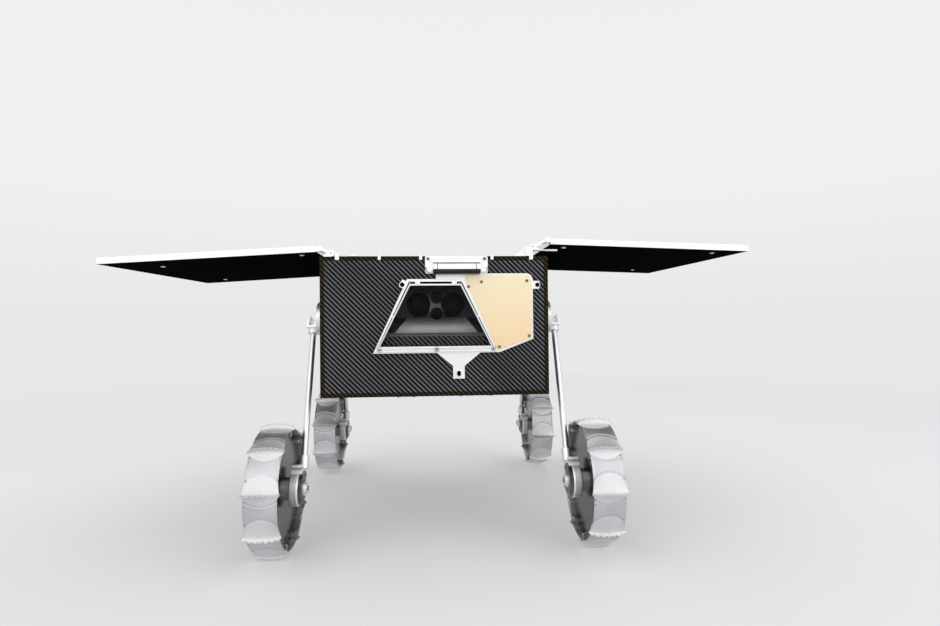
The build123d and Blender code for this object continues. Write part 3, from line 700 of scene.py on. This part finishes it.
def wheel_sheet(name, side, first_angle):
    """One wheel's rim: nine hand-formed sheets whose ends bend out and meet back to back as fans. The
    bent ends take a lighter copy of the sheet's metal, as painted light.
    """
    centre = wheel_middle(name)
    fans = wheel_fans(name)
    stations = sheet_stations()
    form = bmesh.new()
    for number in range(FAN_COUNT):
        turn = first_angle + number * FAN_STEP
        next_fan = fans[(number + 1) % FAN_COUNT]
        grid = []
        for kind, share in stations:
            line = []
            for j in range(SHEET_ROWS + 1):
                across = -1 + 2 * j / SHEET_ROWS
                if kind == "first":
                    point = flap_point(fans[number], turn, 1, across, share)
                elif kind == "second":
                    point = flap_point(next_fan, turn + FAN_STEP, -1, across, share)
                else:
                    point = middle_point(number, first_angle, across, share)
                outward = Vector((0, point.y, point.z)).normalized()
                fade = 1.0 if kind == "middle" else max(0.0, 1 - share * HEM_FADE)
                point += outward * hem_height(across) * fade
                line.append(form.verts.new(centre + Vector((side * point.x, point.y, point.z))))
            grid.append(line)
        for row, (low, high) in enumerate(zip(grid, grid[1:])):
            # Bent faces get the lighter fan finish: painted light on the same metal as the sheet.
            bent = "middle" not in (stations[row][0], stations[row + 1][0])
            for j in range(SHEET_ROWS):
                face = form.faces.new((low[j], high[j], high[j + 1], low[j + 1]))
                face.material_index = 1 if bent else 0
                face.smooth = True
    if side > 0:
        bmesh.ops.reverse_faces(form, faces=form.faces)
    mesh = mesh_of(form, f"wheel_{name}_sheets")
    mesh.materials.append(materials["sheet"])
    mesh.materials.append(materials["fan"])
    item = link(mesh, f"wheel_{name}_sheets")
    solid = item.modifiers.new("sheet", "SOLIDIFY")
    solid.thickness = SHEET
    solid.offset = -1
    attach(item, f"wheel_{name}")
    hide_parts(f"wheel_{name}_rim")


def in_metres(profile):
    """A turned piece's profile, given in millimetres."""
    return [(radius * MM, height * MM) for radius, height in profile]


def join_rings(form, low, high):
    """Faces between two rings of vertices; either may be a single vertex."""
    count = max(len(low), len(high))
    for number in range(count):
        after = (number + 1) % count
        if len(low) == 1:
            form.faces.new((low[0], high[after], high[number]))
        elif len(high) == 1:
            form.faces.new((low[number], low[after], high[0]))
        else:
            form.faces.new((low[number], low[after], high[after], high[number]))


def lathe(form, place, axis, profile, segments):
    """A turned piece about an axis: the profile's points are (radius, height), from the bottom."""
    turn = Vector((0, 0, 1)).rotation_difference(Vector(axis)).to_matrix()
    place = Vector(place)
    rings = []
    for radius, height in profile:
        if radius == 0:
            rings.append([form.verts.new(place + turn @ Vector((0, 0, height)))])
            continue
        ring = []
        for number in range(segments):
            angle = 2 * pi * number / segments
            around = Vector((radius * cos(angle), radius * sin(angle), height))
            ring.append(form.verts.new(place + turn @ around))
        rings.append(ring)
    for low, high in zip(rings, rings[1:]):
        join_rings(form, low, high)


SCREW_SHAPE = ((0, -0.3), (1, -0.3), (1, 0.75), (0.82, 1), (0.5, 1), (0.46, 0.35), (0, 0.3))


def screw_profile(size):
    """A low cap screw with a socket; size is its radius and height in millimetres."""
    radius, height = (value * MM for value in size)
    return [(radius * share, height * level) for share, level in SCREW_SHAPE]


def screws(name, kind, body, places, axis, size):
    """A group of like screws on one surface."""
    form = bmesh.new()
    for place in places:
        lathe(form, place, axis, screw_profile(size), 14)
    finish_form(form, name, kind, body)


BOX_FACES = ((0, 1, 3, 2), (4, 6, 7, 5), (0, 4, 5, 1), (2, 3, 7, 6), (0, 2, 6, 4), (1, 5, 7, 3))


def strip(form, low, high):
    """A box between two corners, added to a bmesh."""
    verts = [form.verts.new((x, y, z)) for x in (low[0], high[0]) for y in (low[1], high[1])
             for z in (low[2], high[2])]
    for corners in BOX_FACES:
        form.faces.new([verts[number] for number in corners])


def finish_form(form, name, finish, body="chassis", edge=0.0):
    """A bmesh turned into a piece with its finish and body."""
    bmesh.ops.remove_doubles(form, verts=form.verts, dist=WELD)
    bmesh.ops.recalc_face_normals(form, faces=form.faces)
    item = link(finished_mesh(form, name, finish), name)
    if edge:
        soften(item, edge)
    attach(item, body)
    return item


TAPE_WIDTH = 7.0 * MM
TAPE_PROUD = 0.25 * MM


def edge_tapes():
    """Brown tape folded over the front and rear panels' borders."""
    for name, face_y, out in (("front", FRONT, -1), ("rear", rear_face, 1)):
        form = bmesh.new()
        near, far = sorted((face_y, face_y + out * TAPE_PROUD))
        x, low, high = HALF_WIDTH, BODY_BOTTOM, BODY_TOP
        inner = x - TAPE_WIDTH
        strip(form, (-x, near, low), (-inner, far, high))
        strip(form, (inner, near, low), (x, far, high))
        strip(form, (-inner, near, high - TAPE_WIDTH), (inner, far, high))
        strip(form, (-inner, near, low), (inner, far, low + TAPE_WIDTH))
        finish_form(form, f"{name}_edge_tape", "tape_front")


FLOOR_HALF = 30.0
FADE_START = 0.9
FADE_END = 3.0
FLOOR_GLOW = 0.35


def floor():
    """A plain pale floor that fades into the pale background away from the rover."""
    form = bmesh.new()
    bmesh.ops.create_grid(form, x_segments=1, y_segments=1, size=FLOOR_HALF)
    mesh = mesh_of(form, "floor")
    item, tree, shader = blank("floor_pale")
    field = noise_at(tree, 2.0, 2.0)
    tint(tree, shader, field, (0.3, grey(0.78)), (0.7, grey(0.80)))
    set_values(shader, Roughness=0.8, Specular_IOR_Level=0.2)
    glow = add(tree, "ShaderNodeEmission", Color=(*HORIZON, 1), Strength=1.0)
    length = add(tree, "ShaderNodeVectorMath", operation="LENGTH")
    tree.links.new(object_place(tree), length.inputs[0])
    far = maths(tree, "DIVIDE", maths(tree, "SUBTRACT", length.outputs["Value"], FADE_START),
                FADE_END - FADE_START, clamp=True)
    far = maths(tree, "MULTIPLY_ADD", far, 1 - FLOOR_GLOW, FLOOR_GLOW)
    share = maths(tree, "MULTIPLY", far, seen_directly(tree))
    mix_shaders(tree, share, shader, glow, tree.nodes["Material Output"])
    mesh.materials.append(item)
    link(mesh, "floor")


def front_place(x, drop, out):
    """A place on the front: across, below the top and out from the face, in millimetres."""
    return Vector((x * MM, FRONT - out * MM, BODY_TOP - drop * MM))


def front_box(form, across, drops, outs):
    """A box on the front, from the first to the second value each way, in millimetres."""
    strip(form, front_place(across[0], drops[1], outs[1]), front_place(across[1], drops[0], outs[0]))


def ring_band(form, inner, outer, back, front):
    """A closed band between two four-sided outlines and two depths on the front."""
    rings = [[form.verts.new(front_place(x, drop, out)) for x, drop in outline]
             for outline, out in ((inner, back), (outer, back), (outer, front), (inner, front))]
    for near, far in zip(rings, rings[1:] + rings[:1]):
        join_rings(form, near, far)


def groove_outline(grow):
    """The four corners of the frame's groove, moved outwards."""
    top = GROOVE_TOP[0] + grow
    foot = GROOVE_FOOT[0] + grow
    head_drop = GROOVE_TOP[1] - grow
    foot_drop = GROOVE_FOOT[1] + grow
    return (-top, head_drop), (top, head_drop), (foot, foot_drop), (-foot, foot_drop)


GROOVE_HALF = GROOVE_WIDTH / 2
GROOVE_FLOOR_OUT = FRAME_FRONT_OUT - 2.4
SEAL_HALF = 0.75
SEAL_OUT = FRAME_FRONT_OUT - 0.9
LIP_OUT = FRAME_FRONT_OUT - 0.05
FOOT_REACH = GROOVE_FOOT[0] - 3.0
HEAD_SLOT_HALF = 41.0
HEAD_SLOT_DROPS = (42.2, 45.6)
HEAD_SLOT_OUTS = (FRAME_FRONT_OUT - 0.8, FRAME_FRONT_OUT + 0.1)


def groove_seal():
    """The dark seal in the window frame's groove, its lips, and the closed foot."""
    form = bmesh.new()
    ring_band(form, groove_outline(-SEAL_HALF), groove_outline(SEAL_HALF), GROOVE_FLOOR_OUT, SEAL_OUT)
    front_box(form, (-HEAD_SLOT_HALF, HEAD_SLOT_HALF), HEAD_SLOT_DROPS, HEAD_SLOT_OUTS)
    finish_form(form, "window_frame_seal", "lens_black")
    form = bmesh.new()
    for inner, outer in ((-GROOVE_HALF, -SEAL_HALF), (SEAL_HALF, GROOVE_HALF)):
        ring_band(form, groove_outline(inner), groove_outline(outer), GROOVE_FLOOR_OUT, LIP_OUT)
    foot = GROOVE_FOOT[1]
    front_box(form, (-FOOT_REACH, FOOT_REACH), (foot - GROOVE_HALF, foot + GROOVE_HALF),
              (GROOVE_FLOOR_OUT, LIP_OUT))
    finish_form(form, "window_frame_lips", "bright")


BRIDGE_BACK_OUT = 9.6
HEAD_BRIDGES = (-28.4, 30.4)
HEAD_BRIDGE_HALF = 4.0
HEAD_BRIDGE_DROPS = (41.3, 46.9)
HEAD_BRIDGE_OUT = 12.4
SIDE_BRIDGE_DROP = 98.0
SIDE_BRIDGE_HALVES = (2.6, 1.4)
SIDE_BRIDGE_OUT = 11.6


def groove_bridges():
    """Small clips that bridge the groove at the head and the sides."""
    form = bmesh.new()
    for x in HEAD_BRIDGES:
        front_box(form, (x - HEAD_BRIDGE_HALF, x + HEAD_BRIDGE_HALF), HEAD_BRIDGE_DROPS,
                  (BRIDGE_BACK_OUT, HEAD_BRIDGE_OUT))
    share = (SIDE_BRIDGE_DROP - GROOVE_TOP[1]) / (GROOVE_FOOT[1] - GROOVE_TOP[1])
    half_width, half_height = SIDE_BRIDGE_HALVES
    for side in (-1, 1):
        x = side * (GROOVE_TOP[0] + share * (GROOVE_FOOT[0] - GROOVE_TOP[0]))
        front_box(form, (x - half_width, x + half_width),
                  (SIDE_BRIDGE_DROP - half_height, SIDE_BRIDGE_DROP + half_height),
                  (BRIDGE_BACK_OUT, SIDE_BRIDGE_OUT))
    finish_form(form, "window_frame_bridges", "bright", edge=0.4 * MM)


FRONT_SCREWS = (
    # name, finish, places, out, (radius, height)
    # A dark disc round each lower frame screw's washer, as a painted shadow.
    ("window_frame_screw_painted_shadows", "seal", FRAME_SCREWS[:3], FRAME_FRONT_OUT, (4.2, 0.2)),
    ("window_frame_washers", "bright", FRAME_SCREWS[:3], FRAME_FRONT_OUT, (3.5, 0.5)),
    ("window_frame_screws", "frame_screw", FRAME_SCREWS, FRAME_FRONT_OUT, (2.3, 1.1)),
    ("radiator_screws", "brass", RADIATOR_SCREWS, RADIATOR_OUT, (2.4, 1.3)),
    ("latch_screws", "frame_screw", LATCH_SCREWS, LATCH_OUT, (2.6, 1.6)),
)
EAR_PIECES = (
    # name, finish, slot, profile as shares of the hole's radius and heights in millimetres
    ("ear_hole_rings", "bright", "aluminium",
     ((0.94, 0), (1.2, 0), (1.2, 0.7), (1.1, 1.0), (0.94, 1.0), (0.94, 0))),
    # A flat black disc in each hole, as painted shade of the hole.
    ("ear_hole_painted_shade", "lens_black", "black_anodised",
     ((0, 0.2), (0.97, 0.2), (0.97, 0.7), (0, 0.6))),
)
EAR_SINK = 0.4


def front_screws():
    """Screws of the window frame, the radiator plate and the latch."""
    for name, kind, places, out, size in FRONT_SCREWS:
        screws(name, kind, "chassis", [front_place(x, drop, out) for x, drop in places], FORWARD, size)


def ear_holes():
    """Bright rings round the holes of the ears and the tab, each hole filled by a flat black disc as
    painted shade.
    """
    for name, kind, slot, profile in EAR_PIECES:
        form = bmesh.new()
        for x, drop, out, radius, stretch in EAR_HOLES:
            place = front_place(x, drop, out - EAR_SINK)
            before = len(form.verts)
            sized = [(share * radius, height) for share, height in profile]
            lathe(form, place, FORWARD, in_metres(sized), 28)
            form.verts.ensure_lookup_table()
            for vert in form.verts[before:]:
                vert.co.z = place.z + (vert.co.z - place.z) * stretch
        finish_form(form, name, kind)


RECESS_DROPS = (11.6, 27.6)
RECESS_OUTS = (3.0, 3.3)
JOINT_RING = ((8.3, -0.5), (8.7, -0.5), (8.7, 0.5), (8.3, 0.5), (8.3, -0.5))
PIN_REACH = 11.0 * MM
PIN_SIZE = (3.0, 1.6)


def latch_parts():
    """The dark recess behind the roller, the roller's two joints and its pins."""
    low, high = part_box("release_roller")
    middle = (low + high) / 2
    form = bmesh.new()
    front_box(form, (low.x / MM, high.x / MM), RECESS_DROPS, RECESS_OUTS)
    for side in (-1, 1):
        place = (middle.x + side * ROLLER_JOINT, middle.y, middle.z)
        lathe(form, place, (1, 0, 0), in_metres(JOINT_RING), 32)
    finish_form(form, "latch_recess", "seal")
    form = bmesh.new()
    for x, way in ((low.x, -1), (high.x, 1)):
        lathe(form, (x + way * PIN_REACH, middle.y, middle.z), (way, 0, 0), screw_profile(PIN_SIZE), 16)
    finish_form(form, "latch_pins", "screw")


# Faces that turn further down than this get the roller's painted shade.
SHADE_EDGE = -0.12


def roller_face(face):
    """The roller is bright above and painted dark brown below, as the shade on its underside."""
    return "roller_painted_shade" if face.normal.z < SHADE_EDGE else "bright"


DISC_EDGE = (0.5, 0.3)
CROWN_SHOULDER = (0.6, 0.7)


def disc(form, x, drop, out, radius, thickness, crown, segments):
    """A flat or slightly crowned disc that faces forwards, with a softened edge."""
    top = thickness + DISC_EDGE[1]
    shoulder = (CROWN_SHOULDER[0] * radius, top + CROWN_SHOULDER[1] * crown)
    profile = ((0, 0), (radius, 0), (radius, thickness), (radius - DISC_EDGE[0], top), shoulder,
               (0, top + crown))
    lathe(form, front_place(x, drop, out), FORWARD, in_metres(profile), segments)


PLATE_LIFTS = (0.1, 0.9)


def bench_plate():
    """The pale plate on the bay's sloping floor; its corners are (across, share of the way back)."""
    form = bmesh.new()
    points = []
    for x, share in BENCH_PLATE:
        y = FRONT + PANEL + share * (BENCH_BACK - PANEL)
        drop = BENCH_FRONT_DROP + share * (BENCH_BACK_DROP - BENCH_FRONT_DROP)
        points.append(Vector((x * MM, y, BODY_TOP - drop * MM)))
    low, high = ([form.verts.new(point + Vector((0, 0, lift * MM))) for point in points]
                 for lift in PLATE_LIFTS)
    form.faces.new(low)
    form.faces.new(high)
    join_rings(form, low, high)
    finish_form(form, "camera_bay_plate", "bay_plate_painted_light")


BAY_DISCS = (
    # name, finish, segments, and for like discs: places across, drop, out, radius, thickness, crown
    ("camera_faces", "lens_black", 56, ((CAMERA_X, CAMERA_DROP, CAMERA_OUT, 19.6, 4.6, 0.0),)),
    ("camera_lenses", "lens", 40,
     ((CAMERA_X, CAMERA_DROP, CAMERA_OUT + LENS_PROUD, 9.5, 0.2, 1.0),
      ((SENSOR_X,), SENSOR_DROPS[0], SENSOR_OUT, 10.6, 0.6, 0.8))),
    ("sensor_cap", "lens_black", 40, (((SENSOR_X,), SENSOR_DROPS[1], SENSOR_OUT, 10.2, 0.8, 0.8),)),
)
SILL_THICKNESS = 1.0


def camera_bay_fittings():
    """Lenses behind the window, and the carbon sill below the bay's floor."""
    for name, kind, segments, discs in BAY_DISCS:
        form = bmesh.new()
        for places, *values in discs:
            for x in places:
                disc(form, x, *values, segments)
        finish_form(form, name, kind)
    low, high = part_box("window_glass")
    half = (high.x - low.x) / 2 / MM
    for name, kind, drops in (("window_sill", "twill_front", (SILL_TOP_DROP, SILL_FOOT_DROP)),
                              ("window_sill_rail", "bay_grey", (RAIL_TOP_DROP, SILL_TOP_DROP))):
        form = bmesh.new()
        front_box(form, (-half, half), drops, (SILL_OUT - SILL_THICKNESS, SILL_OUT))
        finish_form(form, name, kind)


FACES_FRONT = -0.9
SENSOR_BAND = 3 * MM


def bay_face(face):
    """The camera bay's back wall is a little lighter than its sides and floor."""
    return "bay_back" if face.normal.y < FACES_FRONT else "bay_grey"


def camera_face(face):
    """The pill between the cameras is grey in front."""
    middle = abs(face.calc_center_median().x - SENSOR_X * MM) < SENSOR_BAND
    return "bay_back" if middle and face.normal.y < FACES_FRONT else "lens_black"


CHASSIS_PANELS = ("front_panel", "rear_panel", "side_panels", "bottom_panel", "top_panel")
CHASSIS_FINISHES = (
    ("backing_plate", "bright"), ("window_frame", "bright"), ("release_latch", "bright"),
    ("edge_clips", "bright"), ("shoulder_bearings", "aluminium"), ("leg_rests", "bright"),
    ("hinge_brackets_left", "bright"), ("hinge_brackets_right", "bright"),
)


def dress_chassis():
    """All that rides on the chassis."""
    for node in CHASSIS_PANELS:
        dress(node, "chassis", twill_by_direction, 0.5 * MM)
    for node, kind in CHASSIS_FINISHES:
        dress(node, "chassis", kind, 0.4 * MM)
    dress("release_roller", "chassis", roller_face, 0.5 * MM)
    dress("radiator_plate", "chassis", "peach", 0.3 * MM)
    dress("window_glass", "chassis", "glass")
    dress("camera_bay", "chassis", bay_face)
    dress("cameras", "chassis", camera_face, 0.4 * MM)
    dress("battery_and_electronics", "chassis", "black", 1.0 * MM)
    groove_seal()
    groove_bridges()
    front_screws()
    ear_holes()
    latch_parts()
    camera_bay_fittings()
    bench_plate()
    belly_strips()


FACES_FLAT = 0.7


def wing_face(face):
    """Silver edges, dark top border and dark underside of a wing panel."""
    if face.normal.z > FACES_FLAT:
        return "wing_border"
    if face.normal.z < -FACES_FLAT:
        return "wing_dark"
    return "bright"


WING_STUDS = {
    # across and along the body, in millimetres, and the underside's height there
    "left": ((-221.8, -195.3, 473.8), (-221.8, 195.3, 473.8),
             (-468.0, -148.0, 460.05), (-468.0, 148.0, 460.05)),
    "right": ((222.0, -195.3, 486.1), (222.0, 195.3, 486.1),
              (468.0, 148.0, 478.2), (489.8, -188.2, 477.5)),
}
STUD_PROFILE = ((0, -0.8), (4.2, -0.8), (4.2, 0.5), (3.6, 0.8), (2.4, 0.8), (2.0, 1.5), (0, 1.7))


def wing_studs(side):
    """Small bright studs on a wing's underside."""
    form = bmesh.new()
    for x, y, z in WING_STUDS[side]:
        lathe(form, (x * MM, y * MM, z * MM), (0, 0, -1), in_metres(STUD_PROFILE), 24)
    finish_form(form, f"wing_{side}_studs", "clip", f"wing_{side}")


# Across and below the belly, in millimetres
BELLY_STRIPS = ((-63.0, -34.0), (38.0, 91.0))
BELLY_STRIP_DROP = 1.2
BELLY_FOOT_LENGTH = 4.0
BELLY_FOOT_DROP = 2.6
BELLY_STRIP_REACH = (FRONT + 3.0 * MM, FRONT + 11.0 * MM)
BELLY_SINK = 0.2 * MM


def belly_strips():
    """Two thin bright strips with feet under the belly's front edge."""
    near, far = BELLY_STRIP_REACH
    top = BODY_BOTTOM + BELLY_SINK
    form = bmesh.new()
    for left, right in BELLY_STRIPS:
        for start, end, drop in ((left, right, BELLY_STRIP_DROP),
                                 (left, left + BELLY_FOOT_LENGTH, BELLY_FOOT_DROP),
                                 (right - BELLY_FOOT_LENGTH, right, BELLY_FOOT_DROP)):
            strip(form, (start * MM, near, BODY_BOTTOM - drop * MM), (end * MM, far, top))
    finish_form(form, "belly_strips", "bright")


def dress_wings():
    """Panel, cells, hinge leaves and studs of both wings."""
    for side in ("left", "right"):
        dress(f"wing_{side}_panel", f"wing_{side}", wing_face, 0.6 * MM)
        dress(f"wing_{side}_cells", f"wing_{side}", "cell")
        dress(f"wing_{side}_hinge_leaves", f"wing_{side}", "bright", 0.3 * MM)
        wing_studs(side)


DISC_AREA = 1500 * MM * MM
WEB_CAP_RADIUS = 19 * MM
CLIP_INNER_RADIUS = 78 * MM
CLIP_AREA = 80 * MM * MM


def web_face(middle):
    """Bright clips on a dark disc."""
    def kind(face):
        place = face.calc_center_median() - middle
        away = hypot(place.y, place.z)
        if away > CLIP_INNER_RADIUS and face.calc_area() < CLIP_AREA:
            return "clip"
        return "disc" if away > WEB_CAP_RADIUS or face.calc_area() > DISC_AREA else "aluminium"
    return kind


MOTOR_PROFILE = (
    # radius, distance from the nose's tip
    (0, 0), (7.9, 0), (8.8, 0.6), (9.0, 3.5), (10.8, 3.5), (11.5, 4.2), (11.5, 6.9),
    (12.6, 6.9), (12.6, 6.5), (20.0, 6.5), (20.6, 7.0), (26.8, 10.6), (27.3, 11.4),
    (27.5, 13.2), (26.8, 13.6), (26.8, 14.1), (27.5, 14.5),
    (27.5, 18.2), (26.8, 18.6), (26.8, 19.1), (27.5, 19.5),
    (27.5, 22.9), (26.4, 24.1), (6.0, 24.3), (6.0, 66.6), (0, 66.6),
)
MOTOR_FACE_REACH = (6.4 * MM, 11.0 * MM)
MOTOR_NOSE_RADIUS = 11.4 * MM


def motor_nose(name, side):
    """The tip of a hub motor's nose, at its inboard end."""
    low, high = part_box(f"leg_{name}_motor")
    nose = (low + high) / 2
    nose.x = low.x if side > 0 else high.x
    return nose


def motor_face(nose, side):
    """The drum is bright, its coned face towards the body is painted dark as shade, and its nose is
    bright.
    """
    near, far = MOTOR_FACE_REACH

    def kind(face):
        place = face.calc_center_median() - nose
        dark = near < place.x * side < far and hypot(place.y, place.z) > MOTOR_NOSE_RADIUS
        return "motor_dark" if dark else "drum"
    return kind


def hub_motor(name, side):
    """The drum with its nose, coned face, grooves and axle."""
    nose = motor_nose(name, side)
    form = bmesh.new()
    lathe(form, nose, (side, 0, 0), in_metres(MOTOR_PROFILE), 72)
    finish = motor_face(nose, side)
    item = finish_form(form, f"leg_{name}_motor_look", finish, f"leg_{name}")
    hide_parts(f"leg_{name}_motor")


FORK_OUTER = 205.0 * MM
SHOULDER_Y = 140.0 * MM
FORK_SCREW = (2.2, 1.2)
FORK_SCREW_SIDE = 21.0
FORK_SCREW_DROPS = (-9, 5)


def fork_fittings(name, side, end):
    """Screws on the fork's face on both sides of its arm."""
    low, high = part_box("shoulder_bearings")
    shoulder = Vector((side * FORK_OUTER, end * SHOULDER_Y, (low.z + high.z) / 2))
    hub = wheel_middle(name)
    down = Vector((0, hub.y - shoulder.y, hub.z - shoulder.z)).normalized()
    across = Vector((0, -down.z, down.y))
    places = []
    for way in (-1, 1):
        for drop in FORK_SCREW_DROPS:
            places.append(shoulder + across * (way * FORK_SCREW_SIDE * MM) + down * (drop * MM))
    screws(f"leg_{name}_fork_screws", "screw", f"leg_{name}", places, (side, 0, 0), FORK_SCREW)


RIVET_TURNS = (-SHORT_ROOT[1] - 1.6, -SHORT_ROOT[1] - 5.6, LONG_ROOT[1] + 1.8)
RIVET_SIDE = 0.93
RIVET_RADIUS = RIM_RADIUS + 0.3 * MM
RIVET_PROFILE = ((1.15, 0), (1.0, 0.45), (0.5, 0.75), (0, 0.85))


def wheel_rivets(name, side, first_angle):
    """Rivets that close the sheets' layers on the hems beside each fan."""
    centre = wheel_middle(name)
    form = bmesh.new()
    for number in range(FAN_COUNT):
        turn = first_angle + number * FAN_STEP
        for offset in RIVET_TURNS:
            for edge in (-1, 1):
                place = polar(edge * RIVET_SIDE * RIM_HALF_WIDTH, RIVET_RADIUS, turn + offset)
                axis = Vector((0, place.y, place.z))
                place.x *= side
                lathe(form, centre + place, axis, in_metres(RIVET_PROFILE), 10)
    finish_form(form, f"wheel_{name}_rivets", "screw", f"wheel_{name}")


CLIP_SCREW = (1.7, 1.2)
CLIP_SCREW_RADIUS = 86.2 * MM
CLIP_SCREW_SIDE = 21.8 * MM
CLIP_SCREW_SPREAD = 1.6


def clip_fittings(name, side, first_angle):
    """Screws on the clips that hold the sheets to the inboard disc."""
    centre = wheel_middle(name)
    form = bmesh.new()
    for number in range(FAN_COUNT):
        turn = first_angle + number * FAN_STEP
        for way in (-1, 1):
            place = polar(-side * CLIP_SCREW_SIDE, CLIP_SCREW_RADIUS, turn + way * CLIP_SCREW_SPREAD)
            lathe(form, centre + place, (-side, 0, 0), screw_profile(CLIP_SCREW), 12)
    finish_form(form, f"wheel_{name}_clip_screws", "screw", f"wheel_{name}")


HUB_SCREW = (1.9, 1.2)
HUB_SCREW_RADIUS = 13.0 * MM
HUB_SCREWS = 6


def hub_fittings(name, side):
    """Screws round the hub's outboard cap."""
    low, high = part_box(f"wheel_{name}_web")
    centre = wheel_middle(name)
    centre.x = high.x if side > 0 else low.x
    turns = [number * 360 / HUB_SCREWS for number in range(HUB_SCREWS)]
    places = [centre + polar(0, HUB_SCREW_RADIUS, turn) for turn in turns]
    screws(f"wheel_{name}_hub_screws", "screw", f"wheel_{name}", places, (side, 0, 0), HUB_SCREW)


MOTOR_SCREW = (1.5, 0.9)
MOTOR_SCREW_RADIUS = 16.4 * MM
MOTOR_SCREWS = 8
MOTOR_FACE = 6.5 * MM
PLUG_PROFILE = ((4.6, -0.5), (4.6, 0.5), (3.0, 0.9), (0, 0.9))


def motor_fittings(name, side):
    """Screws round the motor's inboard face and a small plug on its nose."""
    nose = motor_nose(name, side)
    face = nose + Vector((side * MOTOR_FACE, 0, 0))
    turns = [(number + 0.5) * 360 / MOTOR_SCREWS for number in range(MOTOR_SCREWS)]
    places = [face + polar(0, MOTOR_SCREW_RADIUS, turn) for turn in turns]
    screws(f"leg_{name}_motor_screws", "screw", f"leg_{name}", places, (-side, 0, 0), MOTOR_SCREW)
    form = bmesh.new()
    lathe(form, nose, (-side, 0, 0), in_metres(PLUG_PROFILE), 20)
    finish_form(form, f"leg_{name}_motor_plug", "motor_dark", f"leg_{name}")


def dress_legs():
    """Legs and wheels with their small parts."""
    for name, side, end, first_angle in CORNERS:
        for piece, kind in (("fork", "bright"), ("tube", "tube"), ("foot", "bright")):
            dress(f"leg_{name}_{piece}", f"leg_{name}", kind, 0.5 * MM)
        hub_motor(name, side)
        fork_fittings(name, side, end)
        dress(f"wheel_{name}_web", f"wheel_{name}", web_face(wheel_middle(name)), 0.3 * MM)
        wheel_sheet(name, side, first_angle)
        wheel_rivets(name, side, first_angle)
        clip_fittings(name, side, first_angle)
        hub_fittings(name, side)
        motor_fittings(name, side)


scene = bpy.context.scene
scene.view_settings.view_transform = "Standard"
camera()
world()
materials = make_materials()
for name, place, size, power in LAMPS:
    area_light(name, place, size, power)
floor()
dress_chassis()
edge_tapes()
dress_wings()
dress_legs()
